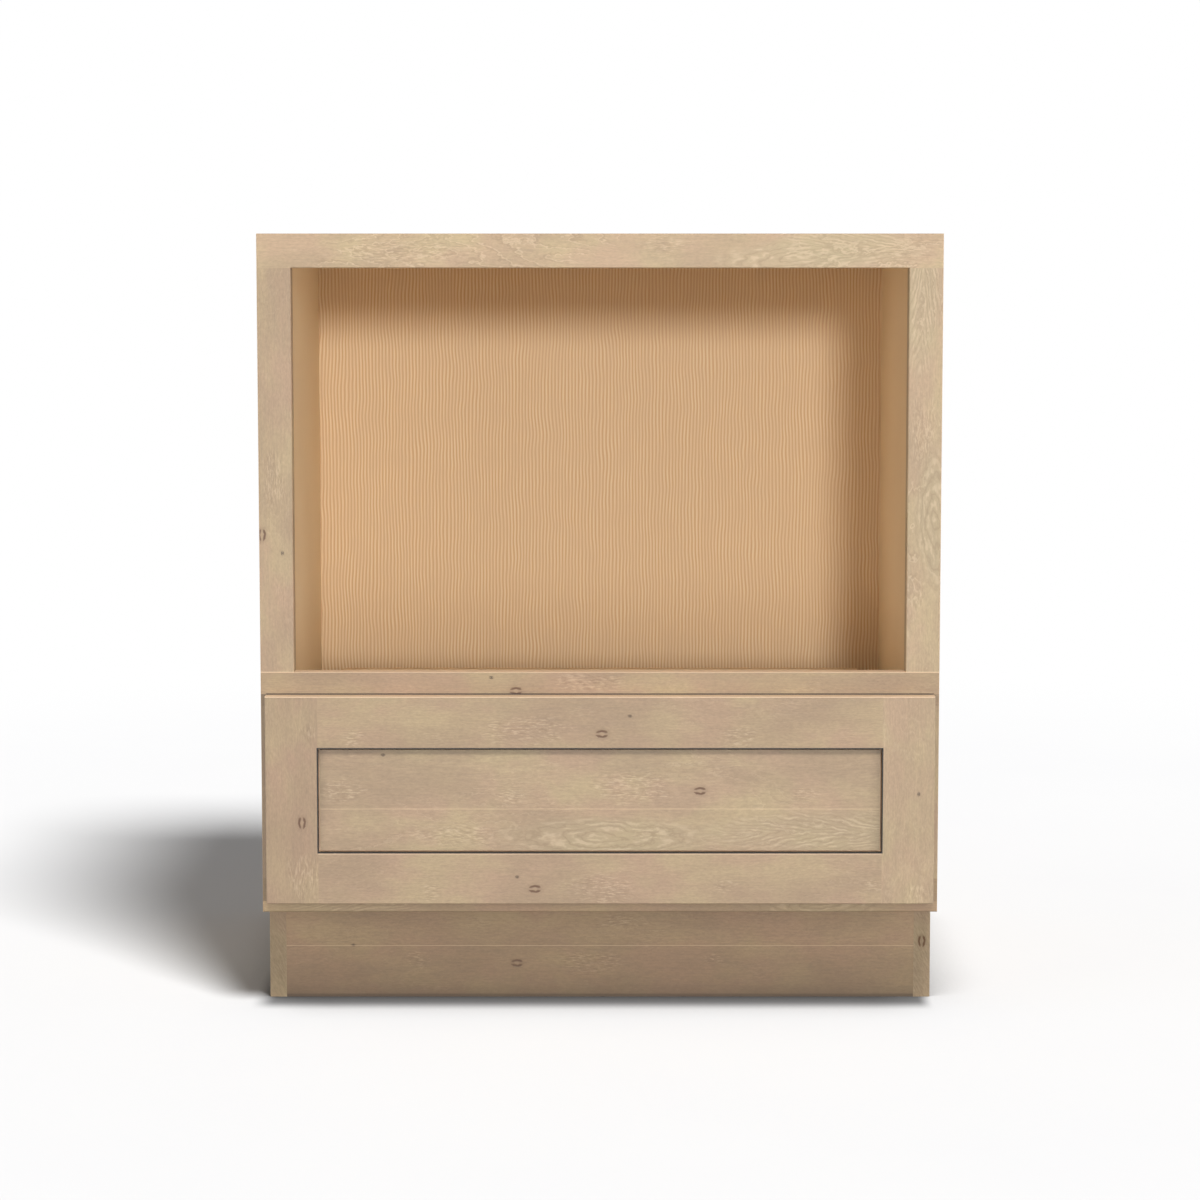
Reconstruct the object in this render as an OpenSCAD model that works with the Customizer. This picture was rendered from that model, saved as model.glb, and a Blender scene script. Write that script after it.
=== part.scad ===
// Microwave base cabinet: an open microwave compartment over one full-width drawer,
// with a wooden face frame and a recessed toe kick.
// Millimetres. X runs along the width, Y from the front towards the wall, Z up.
// The origin is on the floor, under the middle of the cabinet with its drawer closed.

/* [Case] */
// Width over the two side panels
case_w = 762; // [660:1:860]
// Height from the floor
case_h = 876.3; // [800:0.1:960]
// Depth from the face frame's front to the wall
case_d = 609.6; // [480:0.1:680]
// Thickness of each side panel
side_t = 19.05; // [15:0.05:22]
// Thickness of the bottom panel
deck_t = 12.7; // [9:0.1:19]
// Thickness of the top panel
top_t = 12.7; // [9:0.1:19]
// Thickness of the back panel
back_t = 6.35; // [4:0.05:9]
// How deep the side panels are grooved for the top, bottom and back panels
dado_d = 6.35; // [4:0.05:9]
// Thickness of the nailers behind the back panel
nailer_t = 19.05; // [12:0.05:22]
// Height of each nailer
nailer_h = 76.2; // [50:0.1:110]

/* [Toe kick] */
// Height of the toe space
toe_h = 114.3; // [90:0.1:130]
// How far the toe board stands behind the face frame's front
toe_recess = 76.2; // [50:0.1:100]
// Thickness of the toe board
toe_t = 12.7; // [9:0.1:19]
// Side of the square glue blocks in the toe kick's corners
glue_block_w = 25; // [15:1:35]
// Height of the glue blocks
glue_block_h = 90; // [50:1:110]

/* [Face frame] */
// Thickness of the face frame
frame_t = 19.05; // [16:0.05:24]
// Width of the stiles, seen from the front
stile_w = 38.1; // [34:0.1:50]
// Height of the rails, seen from the front
rail_h = 38.1; // [34:0.1:50]
// Height of the drawer's opening
drawer_opening_h = 196.85; // [190:0.05:230]
// Radius of the eased edges
edge_r = 1.5; // [0.5:0.1:3]

/* [Drawer front] */
// Thickness of the drawer front
front_t = 19.05; // [17:0.05:24]
// Width of the drawer front's stiles and rails
front_member_w = 58.7; // [48:0.1:66]
// Face frame left showing at each side of the drawer front
side_reveal = 6.35; // [2:0.05:10]
// Face frame left showing below the drawer front
bottom_reveal = 12.7; // [6:0.1:20]
// Middle rail left showing above the drawer front
top_reveal = 25.4; // [15:0.1:28]
// How far the flat panel lies behind the front's face
panel_recess = 6.35; // [4:0.05:8]
// Width of the dark quirk line round the flat panel
quirk_w = 2; // [1:0.1:4]
// Thickness of the panel's tongue
tongue_t = 3.2; // [2.5:0.1:4]
// Depth of the grooves that hold the tongue
front_groove_d = 9.5; // [6:0.1:14]
// Distance of the grooves from the drawer front's back
groove_back = 3.2; // [2.5:0.1:4]

/* [Drawer box] */
// Space between the drawer box's top and the drawer opening's upper edge
box_headroom = 23.25; // [18:0.05:27]
// Space between the drawer box's back and the back panel
rear_clearance = 39.7; // [25:0.1:90]
// Thickness of its sides, front and back
box_t = 12.7; // [11:0.1:16]
// Height of the box above the drawer opening's lower edge
box_lift = 8.5; // [4:0.1:12]
// Thickness of the drawer's bottom
box_bottom_t = 6.35; // [4:0.05:8]
// Height of the drawer's bottom above the box's lower edge
box_bottom_rise = 12.7; // [10:0.1:20]
// Depth of the grooves for the drawer's bottom
box_groove_d = 6.35; // [4:0.05:8]
// Dovetails at each corner
dovetail_count = 5; // [3:1:8]
// Width of a dovetail's root as a share of the dovetail spacing
dovetail_root = 0.45; // [0.3:0.05:0.55]
// Slope of a dovetail's sides
dovetail_slope = 0.16; // [0.1:0.01:0.2]

/* [Drawer slides] */
// How much shorter the slides are than the drawer box
slide_shortfall = 12.7; // [5:0.1:60]
// Distance from the face frame's front to the slides
slide_setback = 3.2; // [2:0.1:6]
// Thickness of a whole slide
slide_t = 12.7; // [12.5:0.1:14]
// Height of a slide
slide_h = 45; // [44:0.1:50]
// Height of the slides' middle above the box's lower edge
slide_rise = 70; // [50:1:90]
// Thickness of the slides' steel
steel_t = 1.2; // [1:0.1:1.3]
// Distance of the case and middle members' flange edges from the drawer box
flange_gap = 1.7; // [1.5:0.1:2]
// Space for screw heads between the case member and the middle member
head_space = 3; // [2.9:0.1:3.2]
// Space for a cage between the middle member and the drawer member
cage_space = 1.5; // [1.4:0.1:1.7]
// Lip at the edge of the case member's flanges
lip_h = 0.8; // [0.5:0.1:1]
// Diameter of the balls
ball_d = 3; // [2.8:0.1:3.2]
// Balls in each row
ball_count = 7; // [4:1:8]
// Distance between balls in a row
ball_pitch = 34; // [26:1:36]
// Thickness of the ball cages
cage_t = 0.5; // [0.4:0.1:0.6]
// Gap between the outer cage and the middle member
cage_gap = 0.4; // [0.3:0.05:0.5]
// Height of the wooden blocks behind the slides
slide_block_h = 57.15; // [52:0.05:76]

/* [Screws and bumpers] */
// Radius of a screw's shank
shank_r = 1.75; // [1.5:0.05:2]
// Radius of a screw's head
head_r = 3.5; // [3:0.1:4]
// Thickness of a screw's head
head_t = 1.7; // [1.4:0.1:2]
// Length of the screws through the slides' case members
case_screw_l = 14; // [10:0.5:16]
// Length of the screws through the slides' drawer members
drawer_screw_l = 10; // [7:0.5:11]
// Distance of each end slide screw from the slide's end
slide_screw_inset = 60; // [30:1:90]
// Length of the screws that hold the drawer front to its box
front_screw_l = 25; // [20:0.5:28]
// Distance of the drawer-front screws from the drawer's middle
front_screw_x = 200; // [120:1:260]
// How far the screws of the slide blocks reach into the side panels
block_screw_bite = 13; // [8:0.5:14]
// How deep their heads are sunk in the blocks
block_head_sink = 3; // [2.5:0.5:5]
// Distance of these screws from the blocks' upper and lower edges
block_screw_edge = 6; // [5:0.5:8]
// Slope of the pocket screws against the stiles
pocket_angle = 15; // [12:1:18]
// Radius of the pocket holes
pocket_r = 4.8; // [4.5:0.1:5.5]
// Radius of a pocket screw's washer head
washer_r = 4.2; // [3.8:0.1:4.4]
// Wood left under a pocket screw's head
pocket_seat = 14; // [12:0.5:18]
// How far a pocket screw reaches into the rail
pocket_reach = 16; // [12:0.5:17]
// Distance of a stile's pocket screws from its middle
pocket_x = 9.5; // [8:0.5:11]
// Diameter of the bumpers behind the drawer front
bumper_d = 9.5; // [7:0.5:11]
// Distance of the bumpers from the drawer front's upper and lower edges
bumper_inset = 12; // [8:0.5:15]

/* [Fits] */
// Gap between the drawer front and the face frame
bumper_gap = 1.6; // [1:0.1:3]
// Gap between a bumper and the face frame, so that the two bodies stay apart
rest_gap = 0.1; // [0.05:0.05:0.2]
// Clearance of panels in their grooves
joint_fit = 0.2; // [0.1:0.05:0.4]
// Clearance round a screw's shank
shank_fit = 0.1; // [0.05:0.05:0.2]
// Clearance between a ball and each of its tracks
ball_fit = 0.1; // [0.05:0.05:0.15]
// Clearance between a ball and the hole in its cage
cage_fit = 0.2; // [0.1:0.05:0.3]

/* [Hidden] */

$fn = 32;

// How far a cutter runs past the face that it opens
cut = 1;

// The two sides, as signs of X
left = -1;
right = 1;

// Planes along Y, from the front to the wall
front_y = -(case_d + bumper_gap + front_t) / 2;
front_back_y = front_y + front_t;
face_y = front_back_y + bumper_gap;
frame_back_y = face_y + frame_t;
wall_y = face_y + case_d;
nailer_y = wall_y - nailer_t;
back_panel_y = nailer_y - back_t;
toe_y = face_y + toe_recess;

// Half widths along X
half_w = case_w / 2;
inner_half_w = half_w - side_t;
opening_half_w = half_w - stile_w;
front_half_w = half_w - side_reveal;
box_half_w = opening_half_w - slide_t;
box_inner_half_w = box_half_w - box_t;
panel_half_w = inner_half_w + dado_d - joint_fit;
front_opening_half_w = front_half_w - front_member_w;

// Heights
deck_top_z = toe_h + rail_h;
deck_z = deck_top_z - deck_t;
drawer_opening_top_z = deck_top_z + drawer_opening_h;
middle_rail_top_z = drawer_opening_top_z + rail_h;
top_rail_z = case_h - rail_h;
top_panel_z = case_h - top_t;
front_z = toe_h + bottom_reveal;
front_top_z = middle_rail_top_z - top_reveal;
front_opening_z = front_z + front_member_w;
front_opening_top_z = front_top_z - front_member_w;
box_z = deck_top_z + box_lift;
box_top_z = drawer_opening_top_z - box_headroom;
box_h = box_top_z - box_z;
box_bottom_z = box_z + box_bottom_rise;
slide_z = box_z + slide_rise;

// The drawer front's grooves, and how far the rails' tongues stay inside the front's outer edges
tongue_y = front_back_y - groove_back - tongue_t;
rail_tongue_inset = 8;

// The drawer box touches the drawer front's back and ends short of the back panel
box_y = front_back_y;
box_back_y = back_panel_y - rear_clearance;
box_d = box_back_y - box_y;

// A slide's length is also the drawer's travel. Its section is in depths from its mounting
// face and in half heights.
slide_l = box_d - slide_shortfall;
slide_y = face_y + slide_setback;
slide_back_y = slide_y + slide_l;
track_gap = ball_d + 2 * ball_fit;
case_member_half = slide_h / 2;
middle_member_half = case_member_half - steel_t - track_gap;
drawer_member_half = middle_member_half - steel_t - track_gap;
middle_depth = steel_t + head_space;
inner_space_depth = middle_depth + steel_t;
drawer_flange_depth = inner_space_depth + cage_space;
flange_end = slide_t - flange_gap;
outer_cage_depth = middle_depth - cage_t - cage_gap;
inner_cage_depth = inner_space_depth + (cage_space - cage_t) / 2;
outer_ball_depth = (middle_depth + flange_end - steel_t) / 2;
inner_ball_depth = (drawer_flange_depth + flange_end) / 2;
outer_row_half = middle_member_half + track_gap / 2;
inner_row_half = drawer_member_half + track_gap / 2;
cage_l = ball_count * ball_pitch;
cage_y = slide_y + slide_l / 2 - cage_l / 2;
slide_screw_ys = [slide_y + slide_screw_inset, slide_y + slide_l / 2, slide_back_y - slide_screw_inset];
block_screw_l = inner_half_w - opening_half_w + block_screw_bite - block_head_sink;

// Drawer-front screws stand in the front's rails, clear of the panel's groove
front_screw_low_z = (box_z + front_opening_z - front_groove_d) / 2;
front_screw_high_z = (box_top_z + front_opening_top_z + front_groove_d) / 2;

// A box between two opposite corners
module span(low, high) {
    translate(low) cube(high - low);
}

// A mirrored pair is written once, for the right side
module on_side(side) {
    if (side == left) mirror([1, 0, 0]) children();
    else children();
}

// The sliver that easing takes off an edge along X; dy and dz point into the wood
module ease_along_x(x_low, x_high, y, z, dy, dz) {
    centre_y = y + dy * edge_r;
    centre_z = z + dz * edge_r;
    edge_y = y - dy * cut;
    edge_z = z - dz * cut;
    difference() {
        span([x_low, min(edge_y, centre_y), min(edge_z, centre_z)],
             [x_high, max(edge_y, centre_y), max(edge_z, centre_z)]);
        translate([x_low - cut, centre_y, centre_z])
            rotate([0, 90, 0]) cylinder(r = edge_r, h = x_high - x_low + 2 * cut);
    }
}

// The same for an upright edge
module ease_along_z(z_low, z_high, x, y, dx, dy) {
    centre_x = x + dx * edge_r;
    centre_y = y + dy * edge_r;
    edge_x = x - dx * cut;
    edge_y = y - dy * cut;
    difference() {
        span([min(edge_x, centre_x), min(edge_y, centre_y), z_low],
             [max(edge_x, centre_x), max(edge_y, centre_y), z_high]);
        translate([centre_x, centre_y, z_low - cut])
            cylinder(r = edge_r, h = z_high - z_low + 2 * cut);
    }
}

// ---- Face frame ----

// Both pocket screws at one end of each stile. z is the joint; up is 1 where the rail lies above
// the stile and -1 where it lies below. A child's +Z points from the stile into the rail.
module at_pockets(z, up) {
    for (side = [left, right], offset = [-pocket_x, pocket_x])
        translate([side * (half_w - stile_w / 2) + offset, face_y + frame_t / 2, z])
            rotate([up * pocket_angle, 0, 0])
                turned_over(up) children();
}

// Turns a child over where the rail lies below
module turned_over(up) {
    if (up == 1) children();
    else rotate([180, 0, 0]) children();
}

// All eight ends of the four stiles
module all_pockets() {
    at_pockets(top_rail_z, 1) children();
    at_pockets(middle_rail_top_z, -1) children();
    at_pockets(drawer_opening_top_z, 1) children();
    at_pockets(deck_top_z, -1) children();
}

// The hole: a wide pocket down to the seat, then a pilot into the rail
module pocket_hole() {
    translate([0, 0, -pocket_seat - frame_t / sin(pocket_angle)])
        cylinder(r = pocket_r, h = frame_t / sin(pocket_angle));
    translate([0, 0, -pocket_seat - cut])
        cylinder(r = shank_r + shank_fit, h = pocket_seat + pocket_reach + cut + shank_fit);
}

module pocket_screw() {
    translate([0, 0, -pocket_seat - head_t]) cylinder(r = washer_r, h = head_t);
    translate([0, 0, -pocket_seat - head_t / 2])
        cylinder(r = shank_r, h = pocket_seat + pocket_reach + head_t / 2);
}

module frame_pocket_screws() {
    color("silver") all_pockets() pocket_screw();
}

// A rail runs the cabinet's full width, over or under the stiles
module rail_blank(z) {
    span([-half_w, face_y, z], [half_w, frame_back_y, z + rail_h]);
}

module rail_end_easing(z) {
    for (side = [left, right])
        ease_along_z(z - cut, z + rail_h + cut, side * half_w, face_y, -side, 1);
}

module top_rail() {
    color("burlywood") difference() {
        rail_blank(top_rail_z);
        rail_end_easing(top_rail_z);
        ease_along_x(-half_w - cut, half_w + cut, face_y, case_h, 1, -1);
        ease_along_x(-opening_half_w, opening_half_w, face_y, top_rail_z, 1, 1);
        at_pockets(top_rail_z, 1) pocket_hole();
    }
}

module middle_rail() {
    color("tan") difference() {
        rail_blank(drawer_opening_top_z);
        rail_end_easing(drawer_opening_top_z);
        ease_along_x(-opening_half_w, opening_half_w, face_y, middle_rail_top_z, 1, -1);
        ease_along_x(-opening_half_w, opening_half_w, face_y, drawer_opening_top_z, 1, 1);
        at_pockets(middle_rail_top_z, -1) pocket_hole();
        at_pockets(drawer_opening_top_z, 1) pocket_hole();
    }
}

module bottom_rail() {
    color("tan") difference() {
        rail_blank(toe_h);
        rail_end_easing(toe_h);
        ease_along_x(-half_w - cut, half_w + cut, face_y, toe_h, 1, 1);
        ease_along_x(-opening_half_w, opening_half_w, face_y, deck_top_z, 1, -1);
        at_pockets(deck_top_z, -1) pocket_hole();
    }
}

// A stile between two rails
module stile(side, z_low, z_high) {
    difference() {
        on_side(side) span([opening_half_w, face_y, z_low], [half_w, frame_back_y, z_high]);
        ease_along_z(z_low - cut, z_high + cut, side * half_w, face_y, -side, 1);
        ease_along_z(z_low - cut, z_high + cut, side * opening_half_w, face_y, side, 1);
        at_pockets(z_high, 1) pocket_hole();
        at_pockets(z_low, -1) pocket_hole();
    }
}

module upper_stile(side) {
    color("wheat") stile(side, middle_rail_top_z, top_rail_z);
}

module lower_stile(side) {
    color("wheat") stile(side, deck_top_z, drawer_opening_top_z);
}

// ---- Case ----

// What the side panels' grooves are cut to hold, with the clearance
module grooved_panels() {
    groove_half_w = inner_half_w + dado_d;
    span([-groove_half_w, frame_back_y - cut, deck_z],
         [groove_half_w, back_panel_y + cut, deck_top_z + joint_fit]);
    span([-groove_half_w, frame_back_y - cut, top_panel_z],
         [groove_half_w, wall_y + cut, case_h + cut]);
    span([-groove_half_w, back_panel_y, deck_z],
         [groove_half_w, nailer_y + joint_fit, case_h + cut]);
}

// A side panel stands on the floor and is notched for the toe space
module side_panel(side) {
    outline = [
        [frame_back_y, toe_h], [frame_back_y, case_h], [wall_y, case_h],
        [wall_y, 0], [toe_y, 0], [toe_y, toe_h]
    ];
    color("peru") difference() {
        on_side(side) translate([inner_half_w, 0, 0])
            rotate([90, 0, 90]) linear_extrude(side_t) polygon(outline);
        grooved_panels();
        block_screw_holes();
    }
}

module bottom_panel() {
    color("sandybrown")
        span([-panel_half_w, frame_back_y, deck_z], [panel_half_w, back_panel_y, deck_top_z]);
}

module top_panel() {
    color("sandybrown")
        span([-panel_half_w, frame_back_y, top_panel_z], [panel_half_w, wall_y, case_h]);
}

module back_panel() {
    color("goldenrod")
        span([-panel_half_w, back_panel_y, deck_z], [panel_half_w, nailer_y, top_panel_z]);
}

module nailer(z) {
    span([-inner_half_w, nailer_y, z], [inner_half_w, wall_y, z + nailer_h]);
}

module top_nailer() {
    color("khaki") nailer(top_panel_z - nailer_h);
}

module bottom_nailer() {
    color("khaki") nailer(deck_z);
}

module toe_board() {
    color("darkkhaki")
        span([-inner_half_w, toe_y, 0], [inner_half_w, toe_y + toe_t, deck_z]);
}

// Four blocks under the deck: two behind the toe board's ends and two at the back
module glue_blocks() {
    color("khaki")
        for (side = [left, right], y = [toe_y + toe_t, back_panel_y - glue_block_w])
            on_side(side)
                span([inner_half_w - glue_block_w, y, deck_z - glue_block_h],
                     [inner_half_w, y + glue_block_w, deck_z]);
}

// ---- Slides ----

module slide_block(side) {
    color("khaki") difference() {
        on_side(side)
            span([opening_half_w, frame_back_y, slide_z - slide_block_h / 2],
                 [inner_half_w, slide_back_y, slide_z + slide_block_h / 2]);
        block_screw_holes();
        case_screw_holes();
    }
}

// The screws' places along both slides; x is a depth at the right side
module at_slide_screws(x, dz) {
    for (side = [left, right], y = slide_screw_ys)
        on_side(side) translate([x, y, slide_z + dz]) children();
}

// Two rows of screws hold a block to its side panel
module at_block_screws() {
    edge_z = slide_block_h / 2 - block_screw_edge;
    at_slide_screws(opening_half_w + block_head_sink, edge_z) rotate([0, 90, 0]) children();
    at_slide_screws(opening_half_w + block_head_sink, -edge_z) rotate([0, 90, 0]) children();
}

// The screws' heads lie in counterbores, above and below the slide
module block_screw_holes() {
    at_block_screws() {
        cylinder(r = shank_r + shank_fit, h = block_screw_l + shank_fit);
        translate([0, 0, -block_head_sink - cut])
            cylinder(r = head_r + shank_fit, h = block_head_sink + cut);
    }
}

module slide_block_screws() {
    color("silver") at_block_screws() {
        translate([0, 0, -head_t]) cylinder(r = head_r, h = head_t);
        translate([0, 0, -head_t / 2]) cylinder(r = shank_r, h = block_screw_l + head_t / 2);
    }
}

// A right-hand slide section is drawn as [depth from the mounting face, height]
module slide_bar(side, y_low, y_high) {
    on_side(side)
        translate([opening_half_w, y_high, slide_z])
            rotate([90, 0, 0]) mirror([1, 0, 0]) linear_extrude(y_high - y_low) children();
}

// A C section, open towards greater depth
module channel(depth_low, depth_high, half_h, wall) {
    difference() {
        translate([depth_low, -half_h]) square([depth_high - depth_low, 2 * half_h]);
        translate([depth_low + wall, wall - half_h])
            square([depth_high - depth_low, 2 * (half_h - wall)]);
    }
}

// Holes through the case members' webs into the blocks
module case_screw_holes() {
    at_slide_screws(opening_half_w - steel_t - cut, 0)
        rotate([0, 90, 0])
            cylinder(r = shank_r + shank_fit, h = cut + case_screw_l + shank_fit);
}

module slide_case_member(side) {
    color("lightsteelblue") difference() {
        slide_bar(side, slide_y, slide_back_y) {
            channel(0, flange_end, case_member_half, steel_t);
            for (lip_z = [steel_t - case_member_half, case_member_half - steel_t - lip_h])
                translate([flange_end - steel_t, lip_z]) square([steel_t, lip_h]);
        }
        case_screw_holes();
    }
}

module slide_case_screws() {
    color("silver") at_slide_screws(opening_half_w - steel_t, 0) {
        translate([-head_t, 0, 0]) rotate([0, 90, 0]) cylinder(r = head_r, h = head_t);
        translate([-head_t / 2, 0, 0]) rotate([0, 90, 0])
            cylinder(r = shank_r, h = case_screw_l + head_t / 2);
    }
}

module slide_middle_member(side) {
    color("slategray") slide_bar(side, slide_y, slide_back_y)
        channel(middle_depth, flange_end, middle_member_half, steel_t);
}

// The drawer member opens the other way, towards the case
module slide_drawer_member(side) {
    color("lightsteelblue") difference() {
        slide_bar(side, slide_y, slide_back_y)
            difference() {
                translate([drawer_flange_depth, -drawer_member_half])
                    square([slide_t - drawer_flange_depth, 2 * drawer_member_half]);
                translate([drawer_flange_depth - steel_t, steel_t - drawer_member_half])
                    square([slide_t - drawer_flange_depth, 2 * (drawer_member_half - steel_t)]);
            }
        drawer_member_screw_holes();
    }
}

// Holes through the drawer members' webs into the drawer's sides
module drawer_member_screw_holes() {
    at_slide_screws(box_half_w + steel_t + cut, 0)
        rotate([0, -90, 0])
            cylinder(r = shank_r + shank_fit, h = cut + drawer_screw_l + shank_fit);
}

module slide_drawer_screws() {
    color("silver") at_slide_screws(box_half_w + steel_t, 0) {
        rotate([0, 90, 0]) cylinder(r = head_r, h = head_t);
        translate([-drawer_screw_l, 0, 0]) rotate([0, 90, 0])
            cylinder(r = shank_r, h = drawer_screw_l + head_t / 2);
    }
}

// A cage holds two rows of balls, above and below
module ball_rows(side, depth, row_half) {
    for (i = [0 : ball_count - 1], row = [-row_half, row_half])
        on_side(side)
            translate([opening_half_w - depth, cage_y + (i + 0.5) * ball_pitch, slide_z + row])
                children();
}

module ball_cage(side, web_depth, end_depth, ball_depth, row_half) {
    color("dimgray") difference() {
        slide_bar(side, cage_y, cage_y + cage_l)
            channel(web_depth, end_depth, row_half + cage_t / 2, cage_t);
        ball_rows(side, ball_depth, row_half)
            translate([0, 0, -cage_t]) cylinder(d = ball_d + 2 * cage_fit, h = 2 * cage_t);
    }
}

module balls(side, ball_depth, row_half) {
    color("gainsboro") ball_rows(side, ball_depth, row_half) sphere(d = ball_d);
}

module outer_ball_cage(side) {
    ball_cage(side, outer_cage_depth, flange_end - steel_t - cage_fit, outer_ball_depth,
              outer_row_half);
}

module inner_ball_cage(side) {
    ball_cage(side, inner_cage_depth, flange_end, inner_ball_depth, inner_row_half);
}

// ---- Drawer box ----

// Tails at one end of a drawer side, as [y, z], turned by 0 or 180 degrees so that they point
// out of the board; their roots start inside it
module tails(end_y, turn, length) {
    pitch = box_h / dovetail_count;
    root = pitch * dovetail_root / 2;
    tip = root + length * dovetail_slope;
    for (i = [0 : dovetail_count - 1])
        translate([end_y, box_z + (i + 0.5) * pitch])
            rotate(turn) polygon([[-cut, -root], [0, -root], [length, -tip],
                                  [length, tip], [0, root], [-cut, root]]);
}

module drawer_side_outline() {
    translate([box_y + box_t, box_z]) square([box_d - 2 * box_t, box_h]);
    tails(box_y + box_t, 180, box_t);
    tails(box_back_y - box_t, 0, box_t);
}

// The drawer's bottom; extra is the clearance of its grooves
module drawer_bottom_slab(extra) {
    reach = box_groove_d - joint_fit + extra;
    span([-box_inner_half_w - reach, box_y + box_t - reach, box_bottom_z],
         [box_inner_half_w + reach, box_back_y - box_t + reach, box_bottom_z + box_bottom_t + extra]);
}

module drawer_side(side) {
    color("moccasin") difference() {
        on_side(side) translate([box_inner_half_w, 0, 0])
            rotate([90, 0, 90]) linear_extrude(box_t) drawer_side_outline();
        drawer_bottom_slab(joint_fit);
        drawer_member_screw_holes();
    }
}

// The front and back boards are cut away where the sides' tails pass through
module drawer_end(y) {
    difference() {
        span([-box_half_w, y, box_z], [box_half_w, y + box_t, box_top_z]);
        for (side = [left, right])
            on_side(side) translate([box_inner_half_w, 0, 0])
                rotate([90, 0, 90]) linear_extrude(box_t + cut) {
                    tails(box_y + box_t, 180, box_t + cut);
                    tails(box_back_y - box_t, 0, box_t + cut);
                }
        drawer_bottom_slab(joint_fit);
    }
}

module drawer_box_front() {
    color("moccasin") difference() {
        drawer_end(box_y);
        front_screws_at(shank_r + shank_fit, shank_fit);
    }
}

module drawer_box_back() {
    color("moccasin") drawer_end(box_back_y - box_t);
}

module drawer_bottom() {
    color("blanchedalmond") drawer_bottom_slab(0);
}

// ---- Drawer front ----

module panel_grooves() {
    span([-front_opening_half_w - front_groove_d, tongue_y, front_opening_z - front_groove_d],
         [front_opening_half_w + front_groove_d, tongue_y + tongue_t + joint_fit,
          front_opening_top_z + front_groove_d]);
}

// A rail's end tongue fills the stile's groove
module rail_tongues(z_low, z_high) {
    span([-front_opening_half_w - front_groove_d + joint_fit, tongue_y, z_low],
         [front_opening_half_w + front_groove_d - joint_fit, tongue_y + tongue_t, z_high]);
}

module front_edge_easing() {
    for (y = [front_y, front_back_y]) {
        dy = y == front_y ? 1 : -1;
        ease_along_x(-half_w, half_w, y, front_top_z, dy, -1);
        ease_along_x(-half_w, half_w, y, front_z, dy, 1);
        for (side = [left, right])
            ease_along_z(front_z - cut, front_top_z + cut, side * front_half_w, y, -side, dy);
    }
}

module front_stile(side) {
    color("bisque") difference() {
        on_side(side)
            span([front_opening_half_w, front_y, front_z], [front_half_w, front_back_y, front_top_z]);
        front_edge_easing();
        panel_grooves();
        rail_mortises();
    }
}

// The grooves run on to the stiles' ends, where the rails' tongues sit
module rail_mortises() {
    reach = front_opening_half_w + front_groove_d;
    span([-reach, tongue_y, front_z + rail_tongue_inset],
         [reach, tongue_y + tongue_t + joint_fit, front_top_z - rail_tongue_inset]);
}

module front_rail(z_low, z_high, tongue_low, tongue_high) {
    difference() {
        union() {
            span([-front_opening_half_w, front_y, z_low], [front_opening_half_w, front_back_y, z_high]);
            rail_tongues(tongue_low, tongue_high);
        }
        front_edge_easing();
        panel_grooves();
        front_screws_at(shank_r + shank_fit, shank_fit);
    }
}

module front_top_rail() {
    color("wheat")
        front_rail(front_opening_top_z, front_top_z,
                   front_opening_top_z + front_groove_d, front_top_z - rail_tongue_inset);
}

module front_bottom_rail() {
    color("wheat")
        front_rail(front_z, front_opening_z,
                   front_z + rail_tongue_inset, front_opening_z - front_groove_d);
}

// A flat field, set in from the frame by the quirk, on a thin tongue held in the grooves
module front_panel() {
    reach = front_groove_d - joint_fit;
    color("burlywood") {
        span([-front_opening_half_w + quirk_w, front_y + panel_recess, front_opening_z + quirk_w],
             [front_opening_half_w - quirk_w, tongue_y, front_opening_top_z - quirk_w]);
        span([-front_opening_half_w - reach, tongue_y, front_opening_z - reach],
             [front_opening_half_w + reach, tongue_y + tongue_t, front_opening_top_z + reach]);
    }
}

// Shanks of the screws through the box's front into the drawer front's rails
module front_screws_at(r, extra) {
    for (x = [-front_screw_x, front_screw_x], z = [front_screw_low_z, front_screw_high_z])
        translate([x, box_y + box_t, z])
            rotate([90, 0, 0]) translate([0, 0, -extra])
                cylinder(r = r, h = front_screw_l + 2 * extra);
}

module drawer_front_screws() {
    color("silver") {
        front_screws_at(shank_r, 0);
        for (x = [-front_screw_x, front_screw_x], z = [front_screw_low_z, front_screw_high_z])
            translate([x, box_y + box_t + head_t, z]) rotate([90, 0, 0]) cylinder(r = head_r, h = head_t);
    }
}

module drawer_bumpers() {
    bumper_x = (opening_half_w + front_half_w) / 2;
    color("white")
        for (x = [-bumper_x, bumper_x], z = [front_z + bumper_inset, front_top_z - bumper_inset])
            translate([x, front_back_y, z]) rotate([-90, 0, 0])
                cylinder(d = bumper_d, h = bumper_gap - rest_gap);
}

top_rail();
middle_rail();
bottom_rail();
upper_stile(left);  // upper_stile_left
upper_stile(right);  // upper_stile_right
lower_stile(left);  // lower_stile_left
lower_stile(right);  // lower_stile_right
frame_pocket_screws();
side_panel(left);  // side_panel_left
side_panel(right);  // side_panel_right
bottom_panel();
top_panel();
back_panel();
top_nailer();
bottom_nailer();
toe_board();
glue_blocks();
slide_block(left);  // slide_block_left
slide_block(right);  // slide_block_right
slide_block_screws();
slide_case_member(left);  // slide_case_member_left
slide_case_member(right);  // slide_case_member_right
slide_case_screws();
slide_middle_member(left);  // slide_middle_member_left
slide_middle_member(right);  // slide_middle_member_right
outer_ball_cage(left);  // outer_ball_cage_left
outer_ball_cage(right);  // outer_ball_cage_right
balls(left, outer_ball_depth, outer_row_half);  // outer_balls_left
balls(right, outer_ball_depth, outer_row_half);  // outer_balls_right
inner_ball_cage(left);  // inner_ball_cage_left
inner_ball_cage(right);  // inner_ball_cage_right
balls(left, inner_ball_depth, inner_row_half);  // inner_balls_left
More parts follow.
